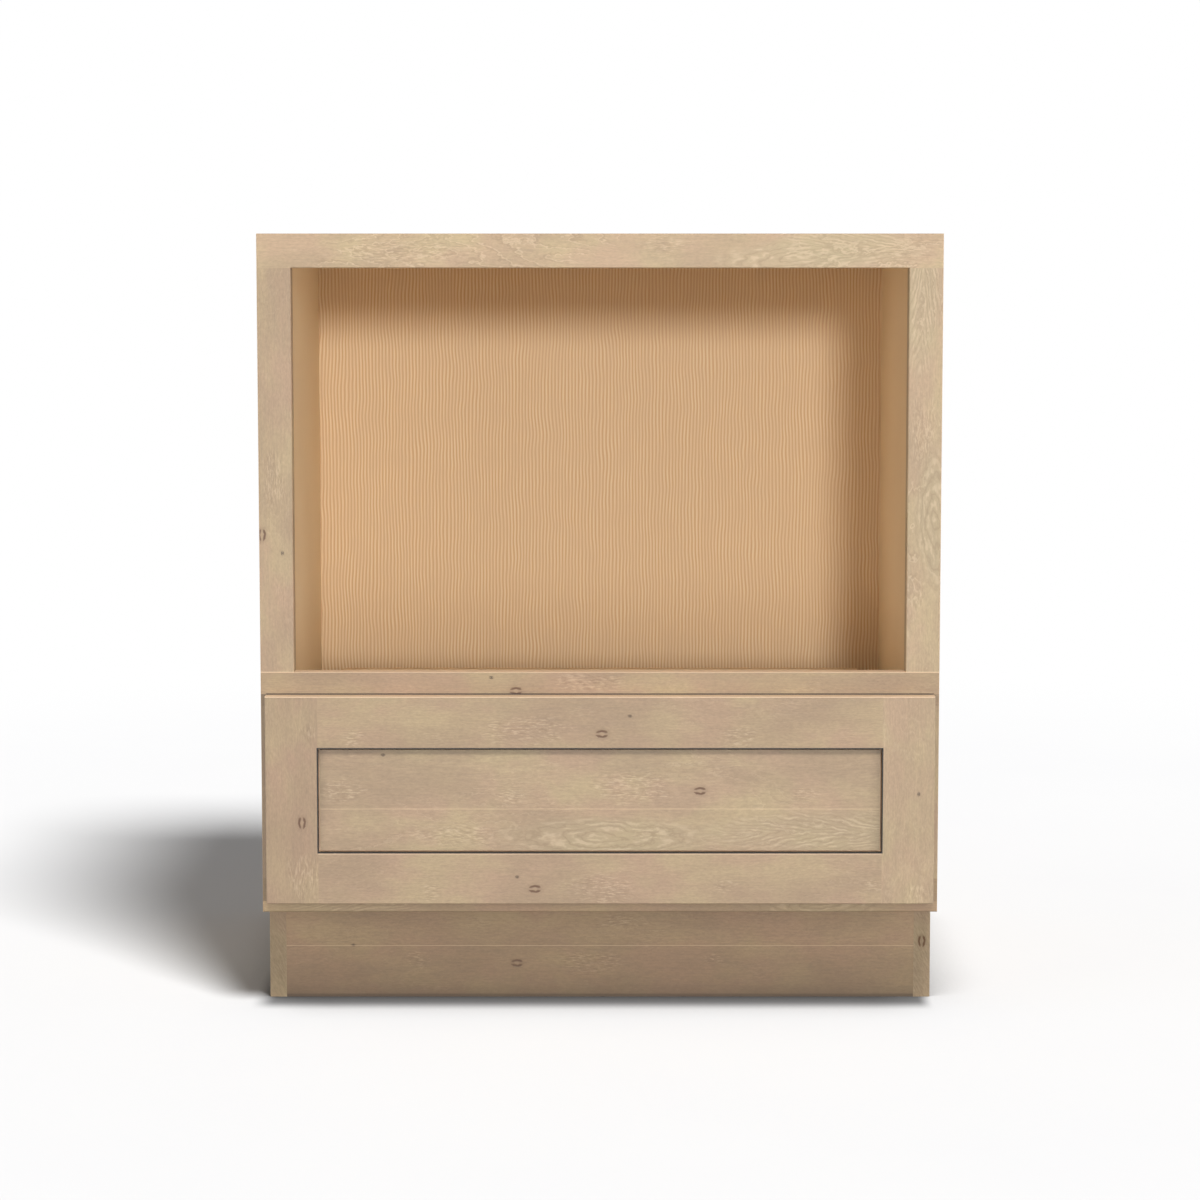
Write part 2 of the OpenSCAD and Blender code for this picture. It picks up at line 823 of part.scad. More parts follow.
balls(right, inner_ball_depth, inner_row_half);  // inner_balls_right
slide_drawer_member(left);  // slide_drawer_member_left
slide_drawer_member(right);  // slide_drawer_member_right
slide_drawer_screws();
drawer_side(left);  // drawer_side_left
drawer_side(right);  // drawer_side_right
drawer_box_front();
drawer_box_back();
drawer_bottom();
front_stile(left);  // front_stile_left
front_stile(right);  // front_stile_right
front_top_rail();
front_bottom_rail();
front_panel();
drawer_front_screws();
drawer_bumpers();
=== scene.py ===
# %% [markdown]
# # A microwave cabinet
# This lesson finishes a kitchen base cabinet that has an open bay for a microwave oven and one
# drawer below it. Its boards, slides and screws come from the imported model, at their true sizes.
# Here they get wood, steel and light, and the small parts get the detail that a saw and a press
# leave on the real ones. Everything is in metres: X runs to the right, Y to the back, Z up.

# %% Load the cabinet's frame
import math
import bmesh
import bpy
from mathutils import Matrix, Vector


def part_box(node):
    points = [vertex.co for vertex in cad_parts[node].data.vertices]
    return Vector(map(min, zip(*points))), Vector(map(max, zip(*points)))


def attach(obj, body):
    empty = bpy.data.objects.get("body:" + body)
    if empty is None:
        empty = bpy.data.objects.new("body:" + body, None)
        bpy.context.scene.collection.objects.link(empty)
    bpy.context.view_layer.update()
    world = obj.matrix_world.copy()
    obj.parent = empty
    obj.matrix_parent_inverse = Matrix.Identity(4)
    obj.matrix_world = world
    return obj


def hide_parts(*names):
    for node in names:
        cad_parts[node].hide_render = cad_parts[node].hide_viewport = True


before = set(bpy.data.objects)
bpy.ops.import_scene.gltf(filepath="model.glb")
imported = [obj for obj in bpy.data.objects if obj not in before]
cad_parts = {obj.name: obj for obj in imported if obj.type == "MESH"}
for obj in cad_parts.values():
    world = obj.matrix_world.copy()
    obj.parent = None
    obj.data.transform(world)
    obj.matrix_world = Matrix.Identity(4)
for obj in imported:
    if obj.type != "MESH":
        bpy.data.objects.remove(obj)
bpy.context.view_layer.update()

# %% [markdown]
# ## The camera
# The photograph was taken from a little under the top of the cabinet, almost four metres away
# and tipped slightly down, with a long lens. A short lens close by would also fill the picture,
# but it would make the bay look deeper than it does. So the camera stands as far off as the
# photographer's did, and its lens is just long enough for the same picture.

# %% Place the camera
camera_data = bpy.data.cameras.new("photographers_camera")
camera_data.sensor_width = 36.0
camera_data.lens = 98.62
camera_data.clip_end = 200.0
camera = bpy.data.objects.new("photographers_camera", camera_data)
camera.location = (0.0, -3.95645, 0.83356)
camera.rotation_euler = (math.radians(90.0 - 5.693), 0.0, 0.0)
bpy.context.scene.collection.objects.link(camera)
bpy.context.scene.camera = camera

# %% [markdown]
# ## Short ways to wire a material
# Each finish is a small net of nodes. Written out in full, every net would take a page, so short
# helpers add a node, set or join its sockets, and hand back the result. Others open, close and
# place a node group, so that one effect can serve many finishes. Colours are written as on a
# paint card, from 0 to 255, and turned into the linear light that Blender calculates with.

# %% Helpers for nodes
def paint(red, green, blue):
    """A paint card's colour as linear light."""
    def linear(value):
        value /= 255.0
        return value / 12.92 if value <= 0.04045 else ((value + 0.055) / 1.055) ** 2.4
    return (linear(red), linear(green), linear(blue), 1.0)


def feed(tree, node, inputs):
    """Sets a node's inputs: each is a number, a colour or another node's socket."""
    for name, value in inputs.items():
        if isinstance(value, bpy.types.NodeSocket):
            tree.links.new(value, node.inputs[name])
        else:
            node.inputs[name].default_value = value
    return node


def add(tree, kind, inputs, **settings):
    node = tree.nodes.new("ShaderNode" + kind)
    for name, value in settings.items():
        setattr(node, name, value)
    return feed(tree, node, inputs)


def calc(tree, operation, *values):
    return add(tree, "Math", dict(enumerate(values)), operation=operation).outputs[0]


def times(tree, first, *others):
    for other in others:
        first = calc(tree, "MULTIPLY", first, other)
    return first


def most(tree, first, *others):
    for other in others:
        first = calc(tree, "MAXIMUM", first, other)
    return first


def remap(tree, value, low, high, new_low, new_high, **settings):
    inputs = dict(enumerate((value, low, high, new_low, new_high)))
    return add(tree, "MapRange", inputs, **settings).outputs[0]


def step(tree, value, low, high):
    """0 below low, 1 above high and a soft slope between; high may be the smaller."""
    return remap(tree, value, low, high, 0.0, 1.0, interpolation_type="SMOOTHSTEP")


def mix(tree, mask, first, second, how="MIX"):
    inputs = {0: mask, 6: first, 7: second}
    return add(tree, "Mix", inputs, data_type="RGBA", blend_type=how).outputs[2]


def tint(tree, colour, mask, share, *card):
    """Lays a paint card's colour over another one where the mask is, up to a share of it."""
    return mix(tree, times(tree, mask, share), colour, paint(*card))


def distance(tree, first, second):
    squares = [calc(tree, "POWER", side, 2.0) for side in (first, second)]
    return calc(tree, "SQRT", calc(tree, "ADD", *squares))


def vectors(tree, operation, first, second):
    inputs = {0: first, 1: second}
    return add(tree, "VectorMath", inputs, operation=operation).outputs[0]


def clouds(tree, vector, per_metre, detail=2.0, roughness=0.5):
    """Soft noise that has its own fineness along each axis."""
    scaled = vectors(tree, "MULTIPLY", vector, per_metre)
    inputs = {"Vector": scaled, "Scale": 1.0, "Detail": detail, "Roughness": roughness}
    return add(tree, "TexNoise", inputs).outputs[0]


def pushed(tree, value, noise, amount):
    """A value that noise pushes up and down, by up to half the amount."""
    return calc(tree, "MULTIPLY_ADD", calc(tree, "SUBTRACT", noise, 0.5), amount, value)


def split(tree, vector):
    return add(tree, "SeparateXYZ", {0: vector}).outputs

# %% Helpers for groups and materials
def start_group(name, inputs, outputs):
    """A shader node group with named sockets, and its two end nodes."""
    tree = bpy.data.node_groups.new(name, "ShaderNodeTree")
    for label, kind, value in inputs:
        socket = tree.interface.new_socket(label, in_out="INPUT", socket_type="NodeSocket" + kind)
        if value is not None:
            socket.default_value = value
    for label, kind in outputs:
        tree.interface.new_socket(label, in_out="OUTPUT", socket_type="NodeSocket" + kind)
    return tree, tree.nodes.new("NodeGroupInput").outputs, tree.nodes.new("NodeGroupOutput")


def finish_group(tree, end, results):
    feed(tree, end, results)
    print("effect:", tree.name, len(tree.nodes), "nodes")
    return tree


def use(tree, group, inputs):
    """Places a group in a material or in another group."""
    node = tree.nodes.new("ShaderNodeGroup")
    node.node_tree = group
    return feed(tree, node, inputs).outputs


def start_material(name):
    """A new material, its tree, its shader, and the place of each point on the object."""
    material = bpy.data.materials.new(name)
    material.use_nodes = True
    tree = material.node_tree
    place = add(tree, "TexCoord", {}).outputs["Object"]
    return material, tree, tree.nodes["Principled BSDF"], place


def finish_shader(tree, shader, colour, roughness, height, strength, distance):
    bump = add(tree, "Bump", {"Height": height, "Strength": strength, "Distance": distance})
    feed(tree, shader, {"Base Color": colour, "Roughness": roughness, "Normal": bump.outputs[0]})

# %% [markdown]
# ## The stained face wood
# The frame, the drawer front and the toe board are knotty maple under a thin taupe stain. The
# stain takes unevenly: some patches turn pinkish, others a greenish yellow, a hand's width
# across. Fine fibres run along the board, in places the wood is crinkled and throws short pale
# flecks, and here and there the growth layers come out as swirls or long arches. A picture of
# wood would repeat from board to board. Noise that is stretched along the grain gives each
# board its own face, and because it fills the whole thickness, the ends and edges match the
# front. In this group X is always along the grain.

# %% Effect: stained grain
FAR_OFF = (9.0, 9.0, 9.0)  # where a figure is that a board doesn't have
GRAIN_INPUTS = [
    ("Vector", "Vector", None), ("Figure A", "Vector", FAR_OFF), ("Figure B", "Vector", FAR_OFF),
    ("Figure reach", "Vector", (0.10, 1.0, 0.024)), ("Crinkled", "Float", 0.0),
    ("Swirls", "Float", 0.25), ("Olive", "Color", paint(177, 156, 123)),
    ("Pink", "Color", paint(174, 147, 121)), ("Tone", "Color", (1.0, 1.0, 1.0, 1.0)),
]
tree, given, end = start_group("stained_grain", GRAIN_INPUTS,
                               [("Color", "Color"), ("Height", "Float"), ("Roughness", "Float")])
place = given["Vector"]
drift = clouds(tree, place, (7.0, 14.0, 15.0), 2.0)
x, y, z = split(tree, place)
wavy = add(tree, "CombineXYZ", {0: x, 1: y, 2: pushed(tree, z, drift, 0.016)}).outputs[0]

patches = clouds(tree, place, (11.0, 16.0, 17.0), 3.0, 0.55)
colour = mix(tree, step(tree, patches, 0.38, 0.62), given["Olive"], given["Pink"])
shade = clouds(tree, place, (8.0, 14.0, 20.0), 3.0, 0.6)
colour = mix(tree, step(tree, shade, 0.35, 0.75), colour, paint(161, 138, 112))

fibre = clouds(tree, wavy, (30.0, 420.0, 620.0), 3.0, 0.6)
pore = clouds(tree, wavy, (190.0, 520.0, 520.0), 2.0, 0.7)
fibre_tone = remap(tree, calc(tree, "MULTIPLY_ADD", pore, 1.6, fibre), 0.9, 1.7, 0.87, 1.12)
colour = mix(tree, 1.0, colour, fibre_tone, "MULTIPLY")

# Short flecks, pale beside dark, only inside small soft patches
stray = step(tree, clouds(tree, place, (17.0, 22.0, 40.0), 1.0), 0.60, 0.74)
fleck_patch = most(tree, times(tree, stray, 0.5), given["Crinkled"])
crinkle = clouds(tree, wavy, (120.0, 320.0, 620.0), 2.5, 0.65)
flecks = times(tree, fleck_patch, step(tree, crinkle, 0.52, 0.62))
dark_flecks = times(tree, fleck_patch, step(tree, crinkle, 0.47, 0.38))


def arches(tree, vector, centre, reach, pointed):
    """Nested arches or rings of a flat-sawn board: their lines, and how near their centre is."""
    away = vectors(tree, "SUBTRACT", vector, centre)
    along, _, across = split(tree, vectors(tree, "DIVIDE", away, reach))
    far = distance(tree, across, along)
    bow = calc(tree, "MULTIPLY_ADD", calc(tree, "ABSOLUTE", across), 1.2, along)
    rough = clouds(tree, vector, (16.0, 40.0, 50.0), 2.0, 0.6)
    crimp = clouds(tree, vector, (150.0, 40.0, 260.0), 2.0)
    phase = times(tree, bow if pointed else far, 5.0)
    phase = calc(tree, "MULTIPLY_ADD", rough, 3.5, phase)
    phase = calc(tree, "MULTIPLY_ADD", crimp, 0.8, phase)
    return calc(tree, "PINGPONG", phase, 0.5), step(tree, far, 1.05, 0.45)


# Growth lines that swirl over the board in places, like the height lines of a map, each a dark
# line with a pale one beside it
swell = clouds(tree, wavy, (4.5, 20.0, 22.0), 1.0, 0.4)
crimp = clouds(tree, wavy, (130.0, 40.0, 260.0), 2.0)
phase = calc(tree, "MULTIPLY_ADD", swell, 15.0, times(tree, crimp, 1.1))
dark_side = step(tree, calc(tree, "PINGPONG", phase, 0.5), 0.13, 0.01)
pale_side = step(tree, calc(tree, "PINGPONG", calc(tree, "ADD", phase, 0.16), 0.5), 0.10, 0.01)
shown = step(tree, clouds(tree, place, (6.0, 9.0, 14.0), 1.0), 0.46, 0.60)
shown = times(tree, shown, given["Swirls"])
dark_flecks = most(tree, dark_flecks, times(tree, shown, dark_side))
flecks = most(tree, flecks, times(tree, shown, pale_side))

for label, pointed in (("Figure A", True), ("Figure B", False)):
    wave, near = arches(tree, wavy, given[label], given["Figure reach"], pointed)
    broken = step(tree, clouds(tree, wavy, (70.0, 300.0, 190.0), 2.0), 0.40, 0.62)
    pale = times(tree, step(tree, wave, 0.22, 0.42), near, broken)
    colour = tint(tree, colour, near, 0.45, 170, 154, 123)
    dark_flecks = most(tree, dark_flecks, times(tree, step(tree, wave, 0.15, 0.02), near))
    flecks = most(tree, flecks, pale)

colour = tint(tree, colour, dark_flecks, 0.30, 128, 104, 80)
colour = tint(tree, colour, flecks, 0.30, 222, 198, 168)
colour = mix(tree, 1.0, colour, given["Tone"], "MULTIPLY")
height = calc(tree, "MULTIPLY_ADD", flecks, 0.5, times(tree, fibre, 0.5))
roughness = remap(tree, fibre, 0.2, 0.8, 0.46, 0.62)
grain = finish_group(tree, end, {"Color": colour, "Height": height, "Roughness": roughness})

# %% [markdown]
# ## Knots, pin holes, crinkled patches and glue lines
# Small eye knots sit in the face wood: two dark arcs around a paler eye, about a fingernail
# across, with the stain gathered beside them. Pin holes are the same mark, much smaller. Where
# the fibres are crinkled, a loose oval patch says how far. Wider boards are glued up from
# strips, and the joint shows as one fine pale line. Each is a mask that a board's material lays
# over its grain, at the place that is written for that board. As a knot runs through a board,
# depth is ignored.

# %% Effect: eye knot
tree, given, end = start_group(
    "eye_knot",
    [("Vector", "Vector", None), ("Place", "Vector", (0.0, 0.0, 0.0)), ("Size", "Float", 0.0055)],
    [("Dark", "Float"), ("Pale", "Float")])
away = vectors(tree, "SUBTRACT", given["Vector"], given["Place"])
along, _, across = split(tree, away)
wobble = clouds(tree, away, (300.0, 0.0, 420.0), 1.0)
along = calc(tree, "DIVIDE", along, given["Size"])
across = calc(tree, "DIVIDE", across, times(tree, given["Size"], 0.62))
ring = pushed(tree, distance(tree, along, across), wobble, 0.5)
band = times(tree, step(tree, ring, 0.42, 0.80), step(tree, ring, 1.55, 1.05))
open_ends = step(tree, calc(tree, "ABSOLUTE", across), 0.05, 0.60)
halo = times(tree, step(tree, ring, 2.4, 1.0), 0.20)
dark = most(tree, times(tree, band, open_ends), halo)
eye_knot = finish_group(tree, end, {"Dark": dark, "Pale": step(tree, ring, 0.60, 0.30)})

# %% Effect: crinkled patch
tree, given, end = start_group(
    "crinkled_patch",
    [("Vector", "Vector", None), ("Place", "Vector", (0.0, 0.0, 0.0)),
     ("Reach", "Vector", (0.05, 1.0, 0.02))],
    [("Mask", "Float")])
away = vectors(tree, "SUBTRACT", given["Vector"], given["Place"])
away = vectors(tree, "MULTIPLY", away, (1.0, 0.0, 1.0))
away = vectors(tree, "DIVIDE", away, given["Reach"])
far = add(tree, "VectorMath", {0: away}, operation="LENGTH").outputs[1]
far = pushed(tree, far, clouds(tree, given["Vector"], (40.0, 0.0, 110.0), 2.0), 1.6)
crinkled_patch = finish_group(tree, end, {"Mask": step(tree, far, 1.25, 0.5)})

# %% Effect: glue line
tree, given, end = start_group(
    "glue_line",
    [("Vector", "Vector", None), ("Height", "Float", 0.0), ("Width", "Float", 0.0004)],
    [("Mask", "Float")])
line = calc(tree, "SUBTRACT", split(tree, given["Vector"])[2], given["Height"])
line = pushed(tree, line, clouds(tree, given["Vector"], (4.0, 0.0, 0.0), 1.0), 0.0008)
line = calc(tree, "DIVIDE", calc(tree, "ABSOLUTE", line), given["Width"])
glue_line = finish_group(tree, end, {"Mask": step(tree, line, 1.6, 0.6)})

# %% [markdown]
# ## Dark lines, pale arrises, painted shade and painted highlights
# A finished cabinet has fine lines where its boards meet. Round the drawer's panel, the narrow gap
# and a hairline of the frame beside it are painted almost black as painted shade of the gap. The
# corner above the drawer front is painted the same way. More painted shade lies on the strips
# beside the drawer front, in a band under the lip over its panel, at the toe board's foot, and on
# the toe board towards the floor. On the cabinet's outer arrises, the sharp edges where two faces
# meet, sanding leaves the stain thin, so the warm wood shows as a hairline. The upper faces and
# arrises of the middle rail and the drawer front, and half as strong the edges round the panel, get
# a painted highlight, as light from above would give them. Modelled grooves would do for the lines,
# but at a millimetre wide a mask is finer and costs no mesh. All of them follow from where a point
# lies on the cabinet.

# %% Effect: place marks
CABINET_X = 0.381                     # half the cabinet's width
CABINET_TOP = 0.8763
FRAME_Y = -0.2945                     # the face frame's front
FRONT_X = 0.3747                      # half the drawer front's width
FRONT_FOOT, FRONT_TOP = 0.127, 0.362
RAIL_TOP = 0.3873                     # the middle rail's top
OPENING_X = 0.316                     # half the opening that the drawer front's panel fills
OPENING_Z, OPENING_HALF = 0.244475, 0.0588
QUIRK_Y, TONGUE_Y = -0.3084, -0.3018  # half way down the gap round the panel, and its floor
LINE = 0.001

tree, given, end = start_group(
    "place_marks",
    [("Vector", "Vector", None)],
    [("Gap", "Float"), ("Shade", "Float"), ("Arris", "Float"), ("Highlight", "Float"),
     ("Floor Shade", "Float")])
place = given["Vector"]
x, y, z = split(tree, place)
side_x = calc(tree, "ABSOLUTE", x)
panel_z = calc(tree, "ABSOLUTE", calc(tree, "SUBTRACT", z, OPENING_Z))


def below(value, limit):
    return calc(tree, "LESS_THAN", value, limit)


def between(value, low, high):
    return times(tree, calc(tree, "GREATER_THAN", value, low), below(value, high))


# Black, as painted shade: round the panel's opening, and on the frame along the top of the drawer
# front
opening = times(tree, below(side_x, OPENING_X - 0.00005), below(panel_z, OPENING_HALF - 0.00005))
around = times(tree, below(side_x, OPENING_X + LINE), below(panel_z, OPENING_HALF + LINE))
gap_shade = times(tree, calc(tree, "SUBTRACT", around, opening), below(y, QUIRK_Y))
on_frame = between(y, FRAME_Y - LINE, FRAME_Y + LINE)
over_front = times(tree, on_frame, between(z, FRONT_TOP - 0.002, FRONT_TOP + 0.0012),
                   below(side_x, FRONT_X))
gap_shade = most(tree, gap_shade, times(tree, over_front, 0.75))

# Painted shade: beside the drawer front, darker on the left, under the lip over its panel, and at
# the toe board's foot
beside = times(tree, on_frame, between(z, FRONT_FOOT - 0.0005, FRONT_TOP + 0.0005),
               step(tree, side_x, FRONT_X - 0.0012, FRONT_X))
beside = times(tree, beside, calc(tree, "MULTIPLY_ADD", below(x, 0.0), 0.26, 0.21))
lip = times(tree, opening, step(tree, z, 0.2948, 0.2980), 0.30)
foot = calc(tree, "MULTIPLY_ADD", step(tree, z, 0.005, 0.002), 0.40,
            times(tree, step(tree, z, 0.020, 0.0), 0.32))
shade = most(tree, beside, foot, lip)

# Warm hairlines: the cabinet's own outer edges
ragged = times(tree, clouds(tree, place, (60.0, 60.0, 60.0), 2.0), 0.0006)
arris = most(tree, step(tree, calc(tree, "ADD", side_x, ragged), CABINET_X - 0.0007,
                        CABINET_X + 0.0001),
             step(tree, calc(tree, "ADD", z, ragged), CABINET_TOP - 0.0007,
                  CABINET_TOP + 0.0001))
arris = times(tree, arris, step(tree, y, -0.2932, -0.2941))

# Painted highlight: upper arrises and upper faces, and half as strong the panel's own edge
front_top = times(tree, between(z, FRONT_TOP - 0.0009, FRONT_TOP + LINE), below(y, FRAME_Y - LINE))
rail_top = times(tree, between(z, RAIL_TOP - 0.0006, RAIL_TOP + 0.00015), below(y, -0.27))
under_gap = times(tree, between(z, 0.1836, 0.1848), below(side_x, OPENING_X), below(y, QUIRK_Y))
quirk_floor = times(tree, below(side_x, OPENING_X + 0.0001), below(panel_z, OPENING_HALF + 0.0002),
                    between(y, QUIRK_Y, TONGUE_Y))
edge = most(tree, front_top, rail_top, times(tree, most(tree, under_gap, quirk_floor), 0.5))
# Painted shade: darker towards the floor, with a ragged upper edge
low = calc(tree, "ADD", z, times(tree, clouds(tree, place, (9.0, 9.0, 40.0), 2.0), 0.03))
place_marks = finish_group(tree, end, {"Gap": gap_shade, "Shade": shade, "Arris": arris, "Highlight": edge,
                                       "Floor Shade": step(tree, low, 0.115, 0.0)})

# %% [markdown]
# ## A board's own material
# Every board is a separate piece of timber, so it gets a material of its own from the shared
# effects. A Mapping node turns an upright board so that its grain lies along X too, and slides the
# pattern, so that no two boards show the same face. Knots, patches and figures are given where they
# are seen on the cabinet, as X and Z, and are turned with the board. A tone makes one board a
# little darker or warmer than the next, as timber from several trees is. It also holds painted
# light: the toe board's and the bottom rail's darker tones are painted shade under the overhang and
# the drawer front, and the top rail's brighter tone is painted light from above.

# %% Stained boards
UPRIGHT = (0.0, math.radians(90.0), 0.0)
PIN_SIZE = 0.0019


def turned(point, upright):
    """A place on the cabinet, as the board's own along and across."""
    x, z = point
    return (z, 0.0, -x) if upright else (x, 0.0, z)


def stained(name, slide, tone, upright=False, figures=(), reach=None, flecks=(), swirls=0.25,
            knots=(), pins=(), glue=None):
    material, tree, shader, place = start_material(name)
    turn = add(tree, "Mapping", {"Vector": place, "Rotation": UPRIGHT if upright else (0, 0, 0)})
    board = turn.outputs[0]
    inputs = {"Vector": vectors(tree, "ADD", board, slide), "Swirls": swirls,
              "Tone": (*tone, 1.0), "Crinkled": 0.0}
    for label, figure in zip(("Figure A", "Figure B"), figures):
        inputs[label] = Vector(turned(figure, upright)) + Vector(slide)
    if reach:
        inputs["Figure reach"] = reach
    for x, z, along, across in flecks:
        patch = use(tree, crinkled_patch, {"Vector": board, "Place": turned((x, z), upright),
                                           "Reach": (along, 1.0, across)})
        inputs["Crinkled"] = most(tree, inputs["Crinkled"], patch["Mask"])
    wood = use(tree, grain, inputs)
    colour, height = wood["Color"], wood["Height"]
    for point in knots:
        knot = use(tree, eye_knot, {"Vector": board, "Place": turned(point, upright)})
        colour = tint(tree, colour, knot["Pale"], 0.30, 190, 160, 128)
        colour = tint(tree, colour, knot["Dark"], 0.90, 88, 58, 38)
        height = calc(tree, "SUBTRACT", height, knot["Dark"])
    for point in pins:
        pin = use(tree, eye_knot, {"Vector": board, "Place": turned(point, upright),
                                   "Size": PIN_SIZE})
        colour = tint(tree, colour, most(tree, pin["Dark"], pin["Pale"]), 0.9, 60, 42, 31)
    if glue is not None:
        joint = use(tree, glue_line, {"Vector": board, "Height": glue})
        colour = tint(tree, colour, joint["Mask"], 0.34, 226, 196, 158)
    mark = use(tree, place_marks, {"Vector": place})
    colour = tint(tree, colour, mark["Arris"], 0.75, 196, 158, 116)
    # Painted highlight on upper faces and arrises, as light from above would give them
    colour = tint(tree, colour, mark["Highlight"], 0.8, 238, 206, 172)
    # Painted shade beside the drawer front, under the panel's lip and at the toe board's foot
    colour = tint(tree, colour, mark["Shade"], 1.0, 20, 14, 10)
    # Painted shade: black round the panel's opening and above the drawer front
    colour = tint(tree, colour, mark["Gap"], 1.0, 10, 8, 6)
    # Painted shade, darker towards the floor
    colour = tint(tree, colour, mark["Floor Shade"], 0.48, 84, 64, 44)
    finish_shader(tree, shader, colour, wood["Roughness"], height, 0.25, 0.0004)
    return material


def finish_node(name, material):
    """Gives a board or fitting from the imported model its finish."""
    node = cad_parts[name]
    node.data.materials.clear()
    node.data.materials.append(material)


# Each board's tone is partly its own colour and partly painted light: the toe board and bottom rail
# are darker as painted shade, and the top rail is brighter as painted light from above
BOARDS = {
    "top_rail": dict(
        swirls=0.9, tone=(1.13, 1.14, 1.11), slide=(0.7, 0.0, 0.3),
        figures=[(0.275, 0.860), (0.215, 0.848)],
        flecks=[(0.074, 0.865, 0.03, 0.011), (-0.218, 0.857, 0.075, 0.013),
                (0.340, 0.858, 0.035, 0.014)]),
    "middle_rail": dict(
        tone=(0.842, 0.811, 0.775), slide=(1.9, 0.0, 0.1), knots=[(-0.0943, 0.3658)],
        flecks=[(-0.010, 0.376, 0.045, 0.011)], pins=[(-0.122, 0.381)]),
    "bottom_rail": dict(
        tone=(0.811, 0.766, 0.702), slide=(2.6, 0.0, 0.4), figures=[(-0.28, 0.125), (0.25, 0.125)]),
    "upper_stile_left": dict(
        tone=(0.958, 0.941, 0.934), upright=True, slide=(3.1, 0.0, 0.2), knots=[(-0.3776, 0.5415)],
        flecks=[(-0.3635, 0.6045, 0.035, 0.014)], pins=[(-0.355, 0.521)]),
    "upper_stile_right": dict(
        swirls=0.9, tone=(1.03, 1.04, 1.02), upright=True, slide=(4.3, 0.0, 0.6),
        figures=[(0.357, 0.800), (0.372, 0.560)],
        flecks=[(0.359, 0.658, 0.035, 0.014), (0.352, 0.477, 0.02, 0.012)]),
    "lower_stile_left": dict(tone=(0.96, 0.94, 0.93), upright=True, slide=(3.3, 0.0, 0.9)),
    "lower_stile_right": dict(tone=(1.00, 1.00, 0.98), upright=True, slide=(3.7, 0.0, 1.4)),
    "toe_board": dict(
        tone=(0.726, 0.66, 0.579), slide=(5.2, 0.0, 0.2),
        knots=[(-0.0959, 0.0394), (0.094, 0.1130)],
        flecks=[(-0.0127, 0.040, 0.042, 0.016), (0.024, 0.088, 0.03, 0.010),
                (-0.21, 0.043, 0.015, 0.010), (0.133, 0.045, 0.012, 0.009)],
        pins=[(-0.2847, 0.0605)], glue=0.0599),
    "front_stile_left": dict(
        tone=(0.843, 0.814, 0.818), upright=True, slide=(6.1, 0.0, 0.5), knots=[(-0.334, 0.2194)],
        flecks=[(-0.331, 0.158, 0.028, 0.020), (-0.327, 0.321, 0.010, 0.010)]),
    "front_stile_right": dict(
        tone=(0.95, 0.957, 0.943), upright=True, slide=(6.9, 0.0, 0.3), pins=[(0.357, 0.252)],
        flecks=[(0.358, 0.139, 0.012, 0.014)]),
    "front_top_rail": dict(
        tone=(0.91, 0.892, 0.881), slide=(7.4, 0.0, 0.1), knots=[(0.0022, 0.320)],
        flecks=[(-0.0844, 0.324, 0.052, 0.017), (-0.276, 0.3155, 0.016, 0.011),
                (0.156, 0.3164, 0.025, 0.012)], pins=[(0.0335, 0.3403)]),
    "front_bottom_rail": dict(
        tone=(0.902, 0.886, 0.887), slide=(8.3, 0.0, 0.7), knots=[(-0.073, 0.1444)],
        flecks=[(0.003, 0.1455, 0.042, 0.019), (-0.19, 0.141, 0.013, 0.009),
                (0.139, 0.147, 0.012, 0.009), (0.306, 0.149, 0.016, 0.009)],
        pins=[(-0.093, 0.158)]),
    "front_panel": dict(
        swirls=0.45, tone=(0.933, 0.929, 0.925), slide=(9.2, 0.0, 0.2),
        reach=(0.15, 1.0, 0.028), figures=[(0.235, 0.207), (0.005, 0.203)],
        flecks=[(0.035, 0.2585, 0.050, 0.020), (-0.101, 0.248, 0.018, 0.010),
                (-0.29, 0.2536, 0.025, 0.016), (0.231, 0.2506, 0.016, 0.009),
                (0.058, 0.207, 0.022, 0.011), (-0.16, 0.204, 0.055, 0.012)],
        knots=[(0.1122, 0.2546)], pins=[(-0.2431, 0.2954)], glue=0.2342),
}
for name, look in BOARDS.items():
    finish_node(name, stained("stain_" + name, **look))
print("stained boards:", len(BOARDS))

# %% [markdown]
# ## The case panels
# The case is veneered plywood. Its sides carry the same stain as the frame, with tall cathedral
# arches, as such veneer is cut from wide logs. Inside the bay all panels have a smooth tan
# finish with hardly any grain. The top of the cabinet is bare veneer, because a counter will
# cover it, and at bare edges the thin layers of the plywood show as stripes. Four materials on
# four sets of faces would do, but one material is enough, as it can ask which way a face looks.

# %% Effect: plywood edge
tree, given, end = start_group(
    "plywood_edge",
    [("Vector", "Vector", None), ("Across", "Float", 0.0), ("Layer", "Float", 0.0015)],
    [("Color", "Color"), ("Height", "Float")])
place = given["Vector"]
layer = calc(tree, "PINGPONG", calc(tree, "DIVIDE", given["Across"], given["Layer"]), 1.0)
ragged = clouds(tree, place, (420.0, 420.0, 420.0), 2.0)
layer = step(tree, calc(tree, "MULTIPLY_ADD", ragged, 0.5, layer), 0.55, 0.95)
colour = mix(tree, layer, paint(214, 184, 140), paint(168, 130, 90))
colour = tint(tree, colour, clouds(tree, place, (9.0, 9.0, 9.0), 2.0), 0.35, 190, 156, 112)
plywood_edge = finish_group(tree, end, {"Color": colour, "Height": layer})

# %% Effect: smooth tan inside
tree, given, end = start_group("smooth_tan", [("Vector", "Vector", None)],
                               [("Color", "Color"), ("Height", "Float")])
soft = clouds(tree, given["Vector"], (3.0, 3.0, 2.0), 2.0)
fine = clouds(tree, given["Vector"], (260.0, 260.0, 30.0), 2.0)
colour = mix(tree, step(tree, soft, 0.3, 0.7), paint(243, 222, 186), paint(239, 216, 178))
colour = tint(tree, colour, fine, 0.12, 178, 138, 98)
smooth_tan = finish_group(tree, end, {"Color": colour, "Height": fine})

